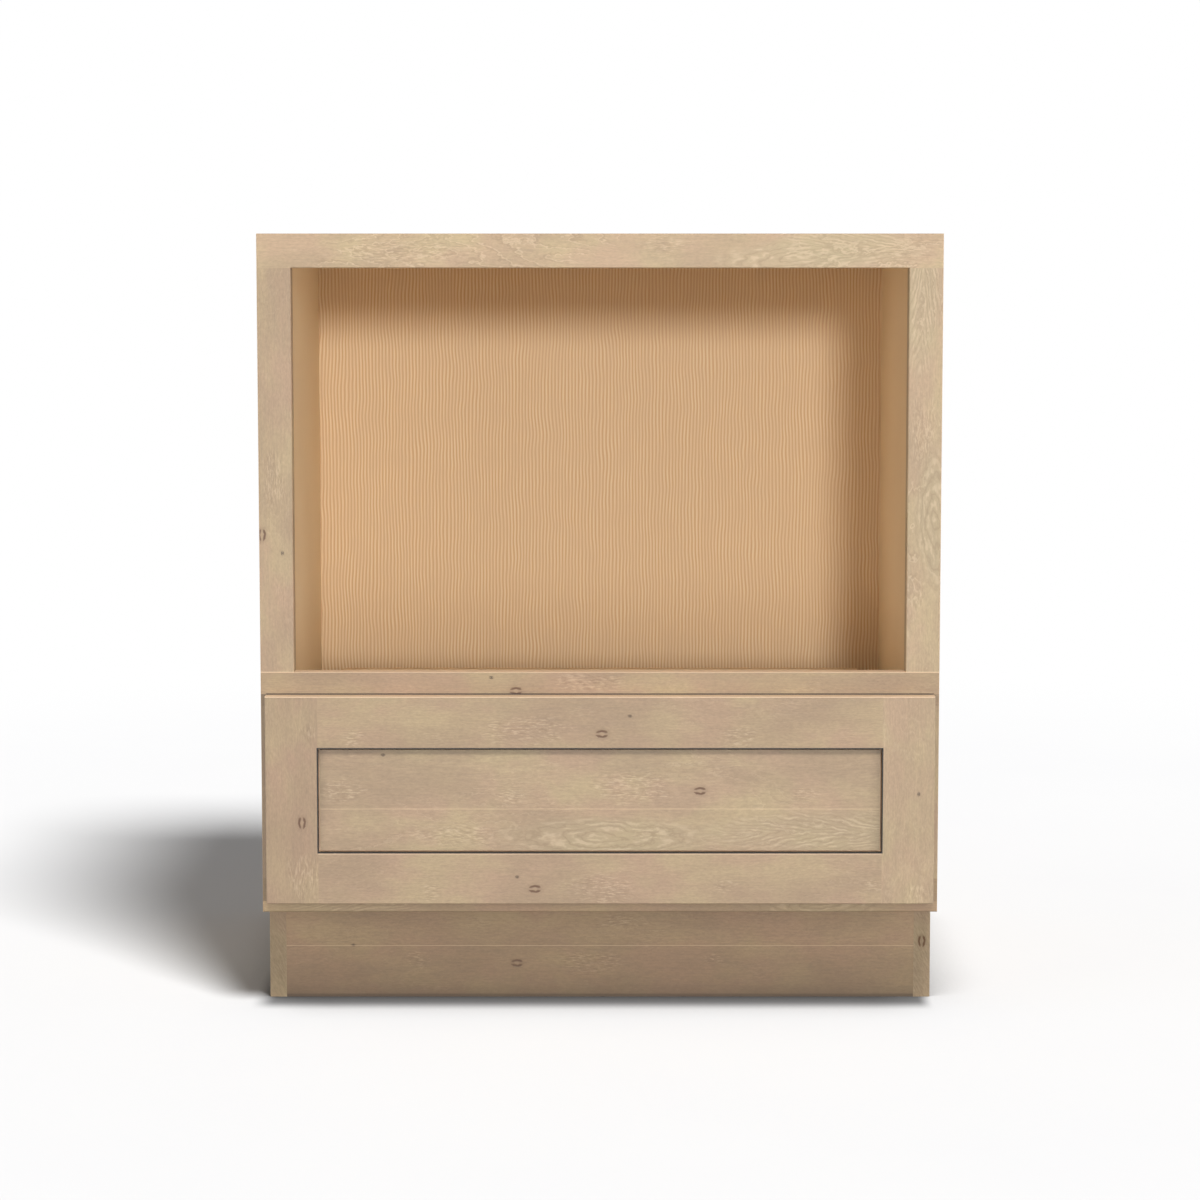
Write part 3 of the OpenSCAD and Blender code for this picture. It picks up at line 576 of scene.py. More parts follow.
# %% Effect: growth lines
tree, given, end = start_group(
    "growth_lines",
    [("Vector", "Vector", None), ("Early", "Color", paint(226, 198, 150)),
     ("Late", "Color", paint(196, 150, 98)), ("Spacing", "Float", 0.006),
     ("Contrast", "Float", 0.6)],
    [("Color", "Color"), ("Height", "Float")])
place = given["Vector"]
drift = clouds(tree, place, (2.5, 9.0, 9.0), 2.0)
x, y, z = split(tree, place)
depth = calc(tree, "MULTIPLY_ADD", drift, 0.07, calc(tree, "MULTIPLY_ADD", y, 0.4, z))
ring = calc(tree, "FRACT", calc(tree, "DIVIDE", depth, given["Spacing"]))
late = times(tree, step(tree, ring, 0.25, 0.92), step(tree, ring, 1.0, 0.93))
fibre = clouds(tree, place, (26.0, 600.0, 600.0), 3.0, 0.6)
colour = mix(tree, times(tree, late, given["Contrast"]), given["Early"], given["Late"])
colour = mix(tree, 1.0, colour, remap(tree, fibre, 0.25, 0.75, 0.93, 1.07), "MULTIPLY")
growth_lines = finish_group(tree, end, {"Color": colour, "Height": fibre})

# %% Side, top and bottom panels
EDGE_SLANT = (0.0, math.radians(28.0), 0.0)
EDGE_TONE = (0.71, 0.725, 0.705, 1.0)
TOWARDS_FRONT = (1, -1.0)


def facing(tree, axis, sign):
    """1 where a face looks along that axis."""
    normal = split(tree, add(tree, "NewGeometry", {}).outputs["Normal"])[axis]
    return step(tree, times(tree, normal, sign), 0.6, 0.8)


def stained_side(tree, place, outside):
    """Tall stained veneer: its grain is upright and drawn out to twice the boards' length."""
    x, y, z = split(tree, place)
    start = 11.0 + outside
    along = calc(tree, "MULTIPLY_ADD", z, 0.45, start)
    upright = add(tree, "CombineXYZ", {0: along, 1: x, 2: y}).outputs[0]
    return use(tree, grain, {
        "Vector": upright, "Figure reach": (0.30, 1.0, 0.085), "Crinkled": 0.12,
        "Figure A": (start + 0.10, 0.0, -0.04), "Figure B": (start + 0.30, 0.0, 0.12),
        "Olive": paint(178, 157, 126), "Pink": paint(173, 149, 122)})["Color"]


def front_edge(tree, place, knots):
    """The edge beside the toe board, where the grain runs out at a slant."""
    turn = add(tree, "Mapping", {"Vector": place, "Rotation": UPRIGHT}).outputs[0]
    slanted = add(tree, "Mapping", {"Vector": turn, "Rotation": EDGE_SLANT}).outputs[0]
    colour = use(tree, grain, {"Vector": slanted, "Crinkled": 0.35, "Tone": EDGE_TONE})["Color"]
    for point in knots:
        knot = use(tree, eye_knot, {"Vector": turn, "Place": turned(point, True)})
        colour = tint(tree, colour, knot["Dark"], 0.9, 88, 58, 38)
    return colour


def panel_material(name, thickness_axis, outside, stain, knots=()):
    """outside is +1 or -1: the way the panel's outer face looks."""
    material, tree, shader, place = start_material(name)
    smooth = use(tree, smooth_tan, {"Vector": place})
    edge = use(tree, plywood_edge, {"Vector": place,
                                    "Across": split(tree, place)[thickness_axis]})
    inner = facing(tree, thickness_axis, -outside)
    colour = mix(tree, inner, edge["Color"], smooth["Color"])
    if stain:
        outer = stained_side(tree, place, outside)
        colour = mix(tree, facing(tree, *TOWARDS_FRONT), colour, front_edge(tree, place, knots))
    else:
        outer = use(tree, growth_lines, {
            "Vector": place, "Early": paint(214, 186, 144), "Late": paint(192, 158, 112),
            "Spacing": 0.016, "Contrast": 0.5})["Color"]
    colour = mix(tree, facing(tree, thickness_axis, outside), colour, outer)
    shader.inputs["Specular IOR Level"].default_value = 0.25
    finish_shader(tree, shader, colour, 0.6 if stain else 0.75, smooth["Height"], 0.08, 0.0003)
    return material


for name, *look in (("side_panel_left", 0, -1.0, True),
                    ("side_panel_right", 0, 1.0, True, [(0.3715, 0.0652)]),
                    ("top_panel", 2, 1.0, False), ("bottom_panel", 2, -1.0, False)):
    finish_node(name, panel_material(name + "_finish", *look))
print("case panels finished")

# %% [markdown]
# ## The ribbed back
# The back of the bay is a thin panel with fine upright ribs, a little over four millimetres
# apart, that wander like combed paint: pale crests with orange-brown lines between them. Cutting
# a hundred and seventy wavy grooves into the mesh would be heavy and would not show at this
# size. So a wave runs across the panel in the material, is pushed left and right by slow noise,
# and drives both the colour and a shallow bump. The rear of the panel is plain brown board.

# %% Back panel
RIB_SPACING = 0.0043
low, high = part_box("back_panel")
back, tree, shader, place = start_material("ribbed_back_finish")
wander = pushed(tree, split(tree, place)[0], clouds(tree, place, (14.0, 0.0, 11.0), 2.0), 0.011)
phase = times(tree, wander, 2.0 * math.pi / RIB_SPACING)
crest = calc(tree, "MULTIPLY_ADD", calc(tree, "SINE", phase), 0.5, 0.5)
uneven = clouds(tree, place, (60.0, 0.0, 24.0), 2.0)
crests = mix(tree, step(tree, uneven, 0.3, 0.7), paint(242, 216, 174), paint(236, 206, 162))
grooves = mix(tree, step(tree, uneven, 0.35, 0.65), paint(220, 178, 130), paint(222, 184, 140))
ribbed = mix(tree, step(tree, crest, 0.2, 0.8), grooves, crests)
pressed = calc(tree, "MULTIPLY_ADD", clouds(tree, place, (22.0, 0.0, 18.0), 5.0), 0.35,
               clouds(tree, place, (520.0, 0.0, 430.0), 3.0, 0.7))
plain = mix(tree, step(tree, pressed, 0.42, 0.92), paint(168, 134, 99), paint(142, 108, 77))
ribbed = mix(tree, facing(tree, *TOWARDS_FRONT), plain, ribbed)
finish_shader(tree, shader, ribbed, 0.55, crest, 0.18, 0.0005)
finish_node("back_panel", back)
print("ribs across the back:", round((high[0] - low[0]) / RIB_SPACING))

# %% [markdown]
# ## Bare pine and drawer maple
# Hidden strength parts are plain pine, and the drawer box is pale maple under clear lacquer.
# Pine shows strong growth lines: pale early wood and amber late wood. Maple is almost even, with
# faint short streaks. A second effect could be built for them, but the growth lines of the bare
# veneer serve both with other colours, and with another distance between lines.

# %% Plain timber parts
ALONG_X = (0.0, 0.0, 0.0)
ALONG_Y = (0.0, 0.0, math.radians(90.0))


def timber(name, rotation, slide, early, late, spacing, contrast, roughness):
    material, tree, shader, place = start_material(name)
    board = add(tree, "Mapping", {"Vector": place, "Rotation": rotation, "Location": slide})
    wood = use(tree, growth_lines, {"Vector": board.outputs[0], "Early": early, "Late": late,
                                    "Spacing": spacing, "Contrast": contrast})
    finish_shader(tree, shader, wood["Color"], roughness, wood["Height"], 0.15, 0.0003)
    return material


PINE = dict(early=paint(224, 194, 146), late=paint(190, 142, 90), spacing=0.007, contrast=0.65,
            roughness=0.7)
MAPLE = dict(early=paint(226, 200, 162), late=paint(206, 172, 128), spacing=0.011, contrast=0.35,
             roughness=0.38)
PLAIN_PARTS = (
    ("pine_", PINE, ALONG_X, (0.0, 0.2, 0.1), 1.3, ("top_nailer", "bottom_nailer")),
    ("pine_", PINE, ALONG_Y, (0.0, 0.5, 0.3), 1.7,
     ("glue_blocks", "slide_block_left", "slide_block_right")),
    ("maple_", MAPLE, ALONG_X, (3.0, 0.4, 0.2), 1.0, ("drawer_box_front", "drawer_box_back")),
    ("maple_", MAPLE, ALONG_Y, (6.0, 0.9, 0.4), 1.0,
     ("drawer_side_left", "drawer_side_right", "drawer_bottom")),
)
for kind, look, way, (x, y, z), shift, names in PLAIN_PARTS:
    for number, name in enumerate(names):
        finish_node(name, timber(kind + name, way, (x + number * shift, y, z), **look))
print("pine and maple parts finished")

# %% [markdown]
# ## Zinc, bearing steel and screws
# The slides are rolled from zinc-plated strip: bright, faintly blotchy and drawn into fine lines
# along their length. The balls are polished, the screws duller. All of them are metal, so what
# shows is mostly the roughness: noise that is stretched along the slide changes it, and with it
# the sharpness of what the metal reflects.

# %% Effect: drawn metal
tree, given, end = start_group(
    "drawn_metal",
    [("Vector", "Vector", None), ("Bright", "Color", paint(214, 217, 220)),
     ("Dull", "Color", paint(198, 202, 206)), ("Smoothest", "Float", 0.24),
     ("Roughest", "Float", 0.42)],
    [("Color", "Color"), ("Roughness", "Float"), ("Height", "Float")])
lines = clouds(tree, given["Vector"], (900.0, 12.0, 900.0), 2.0)
blotch = clouds(tree, given["Vector"], (90.0, 60.0, 90.0), 3.0)
colour = mix(tree, step(tree, blotch, 0.35, 0.65), given["Bright"], given["Dull"])
uneven = calc(tree, "ADD", times(tree, lines, 0.8), times(tree, blotch, 0.2))
roughness = remap(tree, uneven, 0.3, 0.7, given["Smoothest"], given["Roughest"])
drawn_metal = finish_group(tree, end, {"Color": colour, "Roughness": roughness, "Height": lines})

# %% Metal parts
def metal(name, **look):
    material, tree, shader, place = start_material(name)
    steel = use(tree, drawn_metal, {"Vector": place, **look})
    shader.inputs["Metallic"].default_value = 1.0
    finish_shader(tree, shader, steel["Color"], steel["Roughness"], steel["Height"], 0.05, 0.0002)
    return material


zinc = metal("zinc_strip")
polished = metal("polished_ball", Bright=paint(226, 228, 230), Dull=paint(214, 216, 218),
                 Smoothest=0.06, Roughest=0.14)
cage_steel = metal("cage_steel", Bright=paint(176, 180, 184), Dull=paint(150, 154, 158))
screw_steel = metal("screw_steel", Bright=paint(206, 204, 196), Dull=paint(172, 170, 162),
                    Smoothest=0.28, Roughest=0.5)
for side in ("left", "right"):
    for member in ("case", "middle", "drawer"):
        finish_node("slide_" + member + "_member_" + side, zinc)
    for ring in ("outer", "inner"):
        finish_node(ring + "_ball_cage_" + side, cage_steel)
        finish_node(ring + "_balls_" + side, polished)
for name in ("frame_pocket_screws", "slide_block_screws", "slide_case_screws",
             "slide_drawer_screws", "drawer_front_screws", "drawer_bumpers"):
    finish_node(name, screw_steel)
print("metals:", [finish.name for finish in (zinc, polished, cage_steel, screw_steel)])

# %% [markdown]
# ## Modelling by hand, in code
# The boards are plain sawn shapes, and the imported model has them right. Pressed and turned steel
# is another matter: bends are round, heads are domed, and threads wind. These parts are modelled
# again with the same tools as by hand. A few helpers save lines: they go into edit mode and out
# of it, settle a piece's place and size into its mesh, and pick faces or edges by a test on
# their place or on the way they look.

# %% Helpers for modelling
def let_go():
    if bpy.context.mode != "OBJECT":
        bpy.ops.object.mode_set(mode="OBJECT")
    bpy.ops.object.select_all(action="DESELECT")


def take(piece):
    """Makes a piece the only selected one."""
    let_go()
    piece.select_set(True)
    bpy.context.view_layer.objects.active = piece


def settle():
    """Puts the place, turn and size of what is selected into its mesh."""
    bpy.ops.object.transform_apply(location=True, rotation=True, scale=True)


def edit():
    bpy.ops.object.mode_set(mode="EDIT")


def leave():
    bpy.ops.object.mode_set(mode="OBJECT")


def pick(piece, kind, test):
    """In edit mode, selects only the faces or edges that pass the test."""
    bpy.ops.mesh.select_mode(type="FACE" if kind == "faces" else "EDGE")
    bpy.ops.mesh.select_all(action="DESELECT")
    shape = bmesh.from_edit_mesh(piece.data)
    shape.normal_update()
    for element in getattr(shape, kind):
        if test(element):
            element.select_set(True)
    bmesh.update_edit_mesh(piece.data)


def apply_modifier(piece, name, kind, **settings):
    modifier = piece.modifiers.new(name, kind)
    for setting, value in settings.items():
        setattr(modifier, setting, value)
    take(piece)
    bpy.ops.object.modifier_apply(modifier=name)


def cut_away(piece, cutter):
    apply_modifier(piece, "cut", "BOOLEAN", object=cutter, operation="DIFFERENCE",
                   solver="EXACT", use_self=True)
    bpy.data.objects.remove(cutter)


def join(pieces, name):
    """Joins pieces into the first one, with their places in its mesh."""
    let_go()
    for piece in pieces:
        piece.select_set(True)
    bpy.context.view_layer.objects.active = pieces[0]
    settle()
    if len(pieces) > 1:
        bpy.ops.object.join()
    pieces[0].name = name
    return pieces[0]


def stand_in(piece, body, slot, material, *nodes):
    """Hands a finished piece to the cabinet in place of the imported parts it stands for."""
    take(piece)
    bpy.ops.object.shade_smooth_by_angle(angle=math.radians(35.0))
    piece.data.materials.clear()
    piece.data.materials.append(material)
    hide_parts(*nodes)
    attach(piece, body)
    piece.data.calc_loop_triangles()
    print(piece.name, "rides on", body + ",", len(piece.data.loop_triangles), "triangles")

# %% [markdown]
# ## Rolled slide members
# A drawer slide is three lengths of strip steel, rolled into C shapes that run in one another.
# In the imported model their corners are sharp. On the real ones every bend has a radius, and the
# web is punched with slots, so that a fitter can shift the slide before the last screws go in.
# A box with its inside cut out would give sharp bends again. Here a flat strip is laid where the
# web is, its long edges are extruded into flanges, the bends are bevelled while the sheet has no
# thickness, and Solidify gives the wall. So all bends keep an even wall, as rolling leaves them.

# %% Slots and holes as cutters
STEEL = 0.0012
HOLE_RADIUS, SLOT_RADIUS, SLOT_REACH = 0.00185, 0.0022, 0.004


def punch(x, y, z, radius, reach):
    """A round punch through the web; reach stretches it along the slide into a slot."""
    let_go()
    bpy.ops.mesh.primitive_cylinder_add(vertices=24, radius=radius, depth=0.006,
                                        location=(x, y, z), rotation=(0.0, math.radians(90), 0.0))
    tool = bpy.context.object
    settle()
    if reach:
        edit()
        for side in (-1.0, 1.0):
            pick(tool, "edges", lambda e: all(side * (v.co.y - y) > -1e-6 for v in e.verts)
                 and any(side * (v.co.y - y) > 1e-6 for v in e.verts))
            bpy.ops.transform.translate(value=(0.0, side * reach, 0.0))
        leave()
    return tool


trial = punch(0.0, 0.0, 0.0, SLOT_RADIUS, SLOT_REACH)
print("a slot cutter is", [round(1000.0 * side, 1) for side in trial.dimensions], "mm")
bpy.data.objects.remove(trial)

# %% A rolled member
SCREW_YS = (-0.231275, -0.0245750, 0.182125)
EXTRA_SLOTS = (-0.180, -0.130, 0.030, 0.085, 0.135)
BEND, LIP = 0.0016, 0.002


def rolled_member(node, body, web_outward, lip, screw_holes):
    low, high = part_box(node)
    side = 1.0 if low[0] > 0.0 else -1.0
    outer_x, inner_x = (high[0], low[0]) if side > 0.0 else (low[0], high[0])
    web_x, open_x = (outer_x, inner_x) if web_outward else (inner_x, outer_x)
    y, z, half = (low[1] + high[1]) / 2.0, (low[2] + high[2]) / 2.0, (high[2] - low[2]) / 2.0
    let_go()
    bpy.ops.mesh.primitive_plane_add(size=1.0, location=(web_x, y, z),
                                     rotation=(0.0, math.radians(90.0), 0.0))
    member = bpy.context.object
    member.name = "rolled_" + node
    member.scale = (2.0 * half, high[1] - low[1], 1.0)
    settle()
    edit()
    pick(member, "edges", lambda e: abs(e.verts[0].co.z - e.verts[1].co.z) < 1e-6)
    flange = {"value": (open_x - web_x, 0.0, 0.0)}
    bpy.ops.mesh.extrude_edges_move(TRANSFORM_OT_translate=flange)
    if lip:
        bpy.ops.mesh.extrude_edges_move(TRANSFORM_OT_translate={"value": (0.0, 0.0, 0.0)})
        bpy.ops.transform.resize(value=(1.0, 1.0, (half - lip) / half),
                                 center_override=(open_x, y, z))
    pick(member, "edges", lambda e: len(e.link_faces) == 2
         and abs(e.verts[0].co.z - e.verts[1].co.z) < 1e-6)
    bpy.ops.mesh.bevel(offset=BEND, segments=4, affect="EDGES")
    if web_x < open_x:
        bpy.ops.mesh.select_all(action="SELECT")
        bpy.ops.mesh.flip_normals()
    leave()
    apply_modifier(member, "wall", "SOLIDIFY", thickness=STEEL, offset=-1.0,
                   use_even_offset=True)
    holes = SCREW_YS if screw_holes else ()
    tools = [punch(web_x, hole_y, z, HOLE_RADIUS, 0.0) for hole_y in holes]
    tools += [punch(web_x, slot_y, z, SLOT_RADIUS, SLOT_REACH) for slot_y in EXTRA_SLOTS]
    cut_away(member, join(tools, "punches"))
    stand_in(member, body, "zinc_steel", zinc, node)


for side in ("left", "right"):
    rolled_member("slide_case_member_" + side, "case", True, LIP, True)
    rolled_member("slide_middle_member_" + side, "slide_middle_" + side, True, 0.0, False)
    rolled_member("slide_drawer_member_" + side, "drawer", False, 0.0, True)

# %% [markdown]
# ## Wood screws
# Forty-four screws hold the cabinet together. A real one has a domed head with a cross recess, a
# core and a sharp thread. It could be one revolved outline, but a thread isn't round all the way.
# So the head is a short cylinder whose top is inset and raised in steps, the core is extruded
# from its underside down to a point, the recess is cut by two crossed wedges, and the thread is
# a small triangle that the Screw modifier winds around the core. Each length is modelled once
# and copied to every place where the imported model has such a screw.

# %% One screw
HEAD, TIP = 0.0017, 0.003              # the head's height and the point's
CORE = 0.00125                         # the core's radius
PITCH, RIDGE = 0.0014, 0.00042         # the thread's turns are so far apart and so thick
RIDGE_X = 0.00133                      # from the screw's axis


def raise_steps(radius, height, *steps):
    """Insets the picked face and raises it, step by step, into a low dome."""
    for narrower, higher in steps:
        bpy.ops.mesh.inset(thickness=radius * narrower, depth=height * higher)


def turned_screw(name, head_radius, length):
    """A screw at the origin: its head above, its seat at Z 0, and its tip at -length."""
    let_go()
    bpy.ops.mesh.primitive_cylinder_add(vertices=32, radius=head_radius, depth=HEAD * 0.4,
                                        location=(0.0, 0.0, HEAD * 0.2))
    screw = bpy.context.object
    screw.name = name
    settle()
    edit()
    pick(screw, "faces", lambda f: f.normal.z > 0.9)
    raise_steps(head_radius, HEAD, (0.12, 0.30), (0.20, 0.20), (0.25, 0.10))
    pick(screw, "faces", lambda f: f.normal.z < -0.9)
    bpy.ops.mesh.inset(thickness=head_radius - CORE, depth=0.0)
    down = {"value": (0.0, 0.0, TIP - length)}
    bpy.ops.mesh.extrude_region_move(TRANSFORM_OT_translate=down)
    bpy.ops.mesh.extrude_region_move(TRANSFORM_OT_translate={"value": (0.0, 0.0, -TIP)})
    bpy.ops.transform.resize(value=(0.1, 0.1, 1.0), center_override=(0.0, 0.0, -length))
    leave()
    return screw


def cross_recess(radius):
    """Two crossed wedges, narrower towards their lower end."""
    wedges = []
    for turn in (0.0, 90.0):
        let_go()
        bpy.ops.mesh.primitive_cube_add(size=1.0, location=(0.0, 0.0, HEAD * 0.8),
                                        rotation=(0.0, 0.0, math.radians(turn)))
        wedge = bpy.context.object
        wedge.scale = (radius * 1.15, radius * 0.24, HEAD)
        settle()
        edit()
        pick(wedge, "faces", lambda f: f.normal.z < -0.9)
        bpy.ops.transform.resize(value=(0.45, 0.45, 1.0), center_override=(0.0, 0.0, 0.0))
        leave()
        wedges.append(wedge)
    return join(wedges, "cross_recess")


def thread(length):
    """A triangle beside the core, wound down around it."""
    let_go()
    bpy.ops.mesh.primitive_circle_add(vertices=3, radius=RIDGE, location=(RIDGE_X, 0.0, 0.0))
    ridge = bpy.context.object
    settle()
    edit()
    bpy.ops.mesh.select_all(action="SELECT")
    for angle, axis in ((-90.0, "Z"), (90.0, "X")):
        bpy.ops.transform.rotate(value=math.radians(angle), orient_axis=axis,
                                 center_override=(RIDGE_X, 0.0, 0.0))
    bpy.ops.transform.translate(value=(0.0, 0.0, TIP - length))
    leave()
    turns = int((length - TIP - 0.002) / PITCH)
    apply_modifier(ridge, "winding", "SCREW", axis="Z", screw_offset=PITCH, iterations=turns,
                   steps=14, render_steps=14, use_merge_vertices=True)
    edit()
    bpy.ops.mesh.select_all(action="SELECT")
    bpy.ops.mesh.remove_doubles(threshold=1e-7)
    bpy.ops.mesh.select_all(action="DESELECT")
    bpy.ops.mesh.select_mode(type="EDGE")
    bpy.ops.mesh.select_non_manifold()
    bpy.ops.mesh.fill_holes(sides=4)
    bpy.ops.mesh.select_all(action="SELECT")
    bpy.ops.mesh.normals_make_consistent(inside=False)
    leave()
    return ridge

# %% Screws in their places
def loose_parts(node):
    """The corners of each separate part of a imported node, from a merged copy of its mesh."""
    shape = bmesh.new()
    shape.from_mesh(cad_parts[node].data)
    bmesh.ops.remove_doubles(shape, verts=shape.verts, dist=1e-6)
    parts, seen = [], set()
    for first in shape.verts:
        if first in seen:
            continue
        seen.add(first)
        reached = [first]
        for corner in reached:
            for other in (edge.other_vert(corner) for edge in corner.link_edges):
                if other not in seen:
                    seen.add(other)
                    reached.append(other)
        parts.append([corner.co.copy() for corner in reached])
    shape.free()
    return parts


def middle(points):
    return sum(points, Vector()) / len(points)


def screw_axis(corners):
    """Where a packed screw's head ends, and the way it points."""
    centre = middle(corners)
    farthest = max(corners, key=lambda c: (c - centre).length)
    tip = middle([c for c in corners if (c - farthest).length < 0.004])
    way = (tip - centre).normalized()
    top = min((c - centre).dot(way) for c in corners)
    return centre + way * top, way, (tip - centre).length - top


def drive_screws(node, body, head_radius):
    places = [screw_axis(corners) for corners in loose_parts(node)]
    length = places[0][2] - HEAD
    screw = turned_screw(node + "_threaded", head_radius, length)
    cut_away(screw, cross_recess(head_radius))
    screw = join([screw, thread(length)], screw.name)
    copies = []
    for top, way, _ in places:
        copy = bpy.data.objects.new("screw", screw.data.copy())
        bpy.context.scene.collection.objects.link(copy)
        turn = (-way).to_track_quat("Z", "Y").to_matrix().to_4x4()
        copy.matrix_world = Matrix.Translation(top + way * HEAD) @ turn
        copies.append(copy)
    bpy.data.objects.remove(screw)
    print(len(places), "screws,", round(1000.0 * length, 1), "mm under the head")
    stand_in(join(copies, node + "_threaded"), body, "screw_steel", screw_steel, node)


drive_screws("frame_pocket_screws", "case", 0.0042)
for kind, body in (("slide_block", "case"), ("slide_case", "case"), ("slide_drawer", "drawer"),
                   ("drawer_front", "drawer")):
    drive_screws(kind + "_screws", body, 0.0035)

# %% [markdown]
# ## Clear bumpers
# Four small domes of clear, slightly soft plastic sit behind the drawer front's corners and stop
# it from knocking on the frame. A squashed ball would be round underneath too. A low disc whose
# face is inset and raised in steps stays flat where it is glued, and Subdivision Surface rounds
# the steps. The plastic lets light through, and a little noise in its roughness keeps the
# reflections from looking like glass.

# %% Clear plastic
clear, tree, shader, place = start_material("clear_bumper_finish")
haze = clouds(tree, place, (700.0, 700.0, 700.0), 2.0)
feed(tree, shader, {
    "Base Color": mix(tree, haze, paint(244, 244, 240), paint(232, 233, 230)),
    "Roughness": remap(tree, haze, 0.3, 0.7, 0.12, 0.26),
    "Transmission Weight": 0.8, "IOR": 1.45})
print("clear plastic:", len(tree.nodes), "nodes")

# %% Domed bumpers
bumpers = []
for corners in loose_parts("drawer_bumpers"):
    low, high = (Vector([end(c[axis] for c in corners) for axis in range(3)])
                 for end in (min, max))
    radius, thick = (high.x - low.x) / 2.0, high.y - low.y
    seat = Vector(((low.x + high.x) / 2.0, low.y, (low.z + high.z) / 2.0))
    let_go()
    bpy.ops.mesh.primitive_cylinder_add(vertices=24, radius=radius, depth=thick * 0.45,
                                        location=seat + Vector((0.0, thick * 0.225, 0.0)),
                                        rotation=(math.radians(-90.0), 0.0, 0.0))
    dome = bpy.context.object
    settle()
    edit()
    pick(dome, "faces", lambda f: f.normal.y < -0.9)
    bpy.ops.mesh.inset(thickness=radius * 0.08, depth=0.0)
    pick(dome, "faces", lambda f: f.normal.y > 0.9)
    raise_steps(radius, thick, (0.14, 0.28), (0.24, 0.18), (0.30, 0.09))
    pick(dome, "edges", lambda e: all(abs(v.co.y - seat.y) < 1e-6 for v in e.verts))
    bpy.ops.transform.edge_crease(value=1.0)
    leave()
    apply_modifier(dome, "rounded", "SUBSURF", levels=1, render_levels=1)
    bumpers.append(dome)
stand_in(join(bumpers, "domed_bumpers"), "drawer", "clear_bumper", clear, "drawer_bumpers")

# %% [markdown]
# ## Floor and light
# The cabinet stands on a plain pale floor that runs out into white. The photograph's bay is lit to
# its back, and only its top and right edges lie in shade, so one sun lamp is low and a little to
# the right: it is as bright at the back of the bay as at the front. A second sun stands high and
# throws the shade under the top rail. Wide soft boxes fill in from the front and from both sides,
# others light the outsides and the rear, and pale air light comes from all round. The floor's
# shadow runs back to the left and would need yet another light, which would brighten the toe space
# too. So two more suns are linked to the floor alone, and all other lamps to everything but the
# floor. Close beside the cabinet an occlusion node darkens the floor's colour as painted shade, and
# under the toe board, where little light gets in, more shade is painted into it.

# %% Floor
def seen_sharply(tree):
    """1 for what the camera sees, also in a polished or clear surface; 0 for soft light."""
    ray = add(tree, "LightPath", {}).outputs
    return most(tree, ray["Is Camera Ray"], ray["Is Glossy Ray"], ray["Is Transmission Ray"])


WHITE = (1.0, 1.0, 1.0, 1.0)
FADE = (1.3, 2.6)  # how far off the floor begins to turn white, and is white
TOE_DEPTH, TOE_LEFT, TOE_RIGHT = (-0.290, -0.240), (-0.402, -0.372), (0.383, 0.365)
bpy.ops.object.select_all(action="DESELECT")
bpy.ops.mesh.primitive_plane_add(size=60.0, location=(0.0, 0.0, 0.0))
floor = bpy.context.object
floor.name = "pale_floor"
floor_finish, tree, shader, place = start_material("pale_floor_finish")
tree.nodes.remove(shader)
dust = clouds(tree, place, (3.0, 3.0, 3.0), 2.0)
shade = mix(tree, dust, paint(202, 202, 202), paint(200, 200, 201))
# Painted shade: an occlusion node darkens the floor's colour close to the cabinet
near = add(tree, "AmbientOcclusion", {"Distance": 0.14}).outputs["AO"]
shade = mix(tree, step(tree, near, 0.15, 0.86), paint(88, 88, 88), shade)
floor_x, floor_y, _ = split(tree, place)
# Painted shade under the toe board
toe_space_shade = times(tree, step(tree, floor_y, *TOE_DEPTH), step(tree, floor_x, *TOE_LEFT),
                  step(tree, floor_x, *TOE_RIGHT))
shade = tint(tree, shade, toe_space_shade, 0.72, 20, 20, 20)
sharp = seen_sharply(tree)
shade = mix(tree, sharp, paint(76, 74, 72), shade)
lit = add(tree, "BsdfDiffuse", {"Color": shade}).outputs[0]
white = add(tree, "Emission", {"Color": WHITE, "Strength": 1.0}).outputs[0]
reach = add(tree, "VectorMath", {0: place, 1: (0.0, 0.4, 0.0)}, operation="DISTANCE").outputs[1]
far = times(tree, step(tree, reach, *FADE), sharp)
shown = add(tree, "MixShader", {0: far, 1: lit, 2: white}).outputs[0]
feed(tree, tree.nodes["Material Output"], {"Surface": shown})
floor.data.materials.append(floor_finish)
print("floor:", len(tree.nodes), "nodes")

# %% World
AIR_LIGHT = 0.32  # beside 1.0 for the white that the camera sees
world = bpy.data.worlds.new("pale_room")
bpy.context.scene.world = world
world.use_nodes = True
tree = world.node_tree
tree.nodes.clear()
level = remap(tree, seen_sharply(tree), 0.0, 1.0, AIR_LIGHT, 1.0)
air = add(tree, "Background", {"Color": WHITE, "Strength": level})
add(tree, "OutputWorld", {"Surface": air.outputs[0]})
print("air light:", AIR_LIGHT)

# %% Lamps
BAY, FOOT = (0.0, 0.0, 0.62), (0.0, 0.0, 0.0)
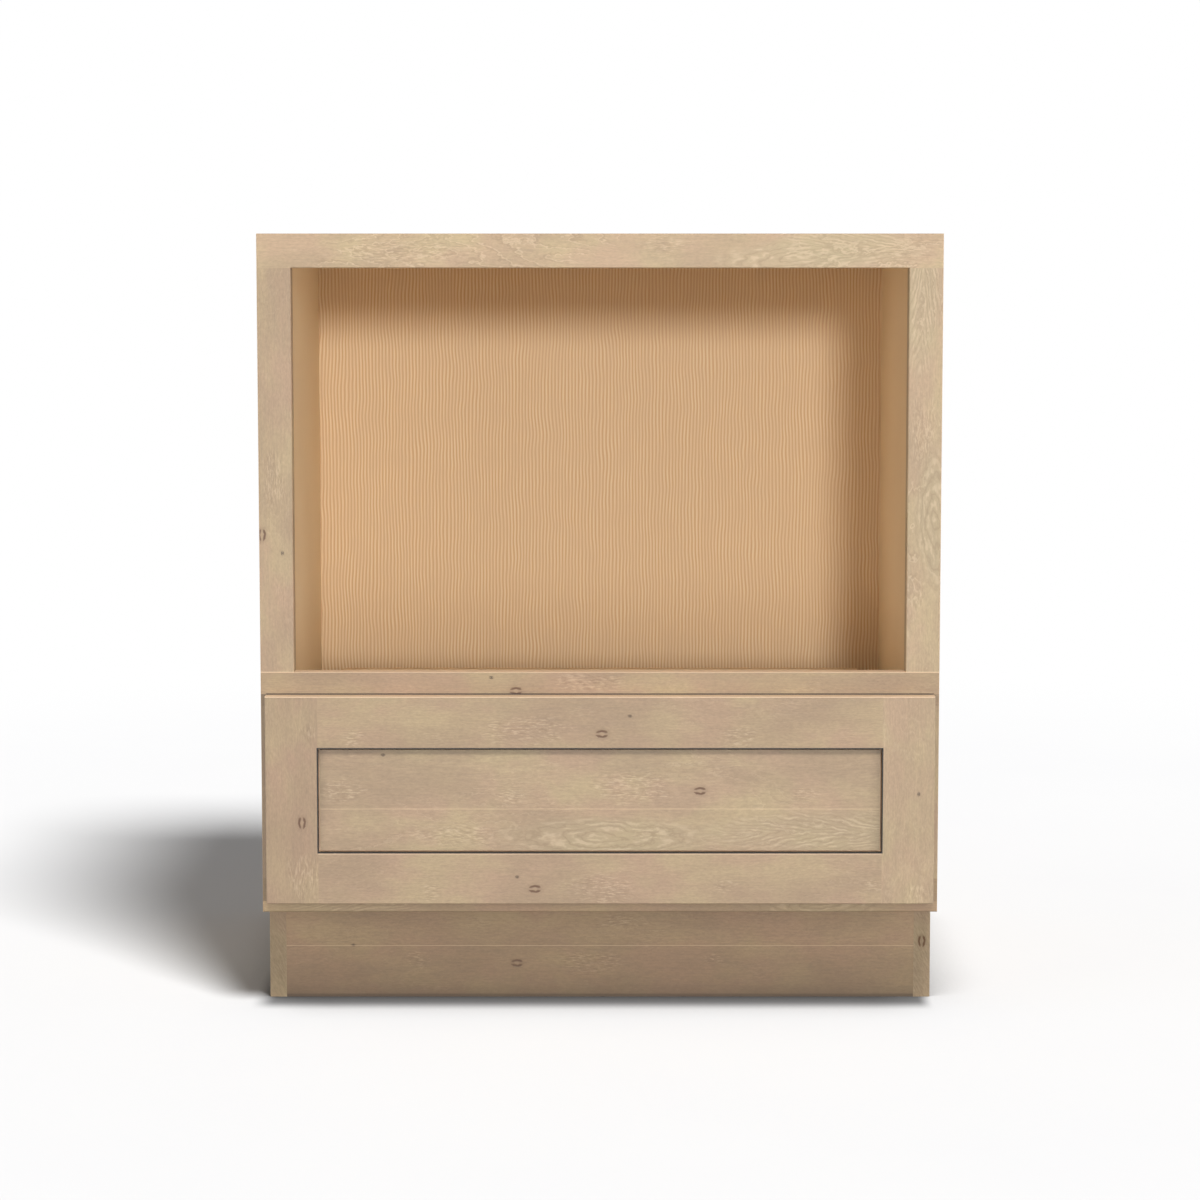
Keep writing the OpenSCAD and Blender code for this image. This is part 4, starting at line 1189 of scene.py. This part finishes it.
# Each lamp: name, place, aim and power, then a sun's angle in degrees or a soft box's two sides
LAMPS = [
    ("low_key", (0.33, -4.94, 1.24), BAY, 1.08, 6.0),
    ("high_key", (0.21, -3.0, 4.62), BAY, 1.12, 9.0),
    ("tall_fill", (-0.3, -3.6, 0.75), BAY, 13.0, 5.0, 1.4),
    ("right_fill", (2.6, -1.9, 0.48), (-0.3, 0.0, 0.7), 40.0, 1.5, 1.5),
    ("left_fill", (-2.4, -2.1, 0.48), (0.3, 0.2, 0.7), 18.0, 1.2, 1.2),
    ("low_fill", (0.3, -2.8, 0.28), (0.0, 0.2, 0.85), 7.0, 4.4, 0.3),
    ("left_side_light", (-3.0, 0.9, 1.0), (-0.3, 0.05, 0.45), 42.0, 1.8, 1.8),
    ("right_side_light", (3.0, 0.9, 1.0), (0.3, 0.05, 0.45), 30.0, 1.8, 1.8),
    ("back_light", (0.4, 3.6, 1.1), (0.0, 0.3, 0.45), 62.0, 2.2, 2.2),
    ("floor_shadow_light", (1.64, -3.37, 4.16), FOOT, 5.60, 17.0),
    ("floor_soft_light", (-3.0, -1.4, 3.2), FOOT, 0.12, 40.0),
]
FLOOR_ONLY = ("floor_shadow_light", "floor_soft_light")
for name, place, aim, power, *extent in LAMPS:
    data = bpy.data.lights.new(name, "SUN" if len(extent) == 1 else "AREA")
    data.energy = power
    if len(extent) == 1:
        data.angle = math.radians(extent[0])
    else:
        data.shape = "RECTANGLE"
        data.size, data.size_y = extent
    lamp = bpy.data.objects.new(name, data)
    lamp.location = place
    lamp.rotation_euler = (Vector(aim) - Vector(place)).to_track_quat("-Z", "Y").to_euler()
    lamp.visible_camera = False
    bpy.context.scene.collection.objects.link(lamp)
    group = bpy.data.collections.new(name + "_floor")
    group.objects.link(floor)
    group.collection_objects[0].light_linking.link_state = (
        "INCLUDE" if name in FLOOR_ONLY else "EXCLUDE")
    lamp.light_linking.receiver_collection = group
bpy.context.scene.view_settings.view_transform = "Standard"
print("lamps:", len(LAMPS), "of them for the floor alone:", len(FLOOR_ONLY))
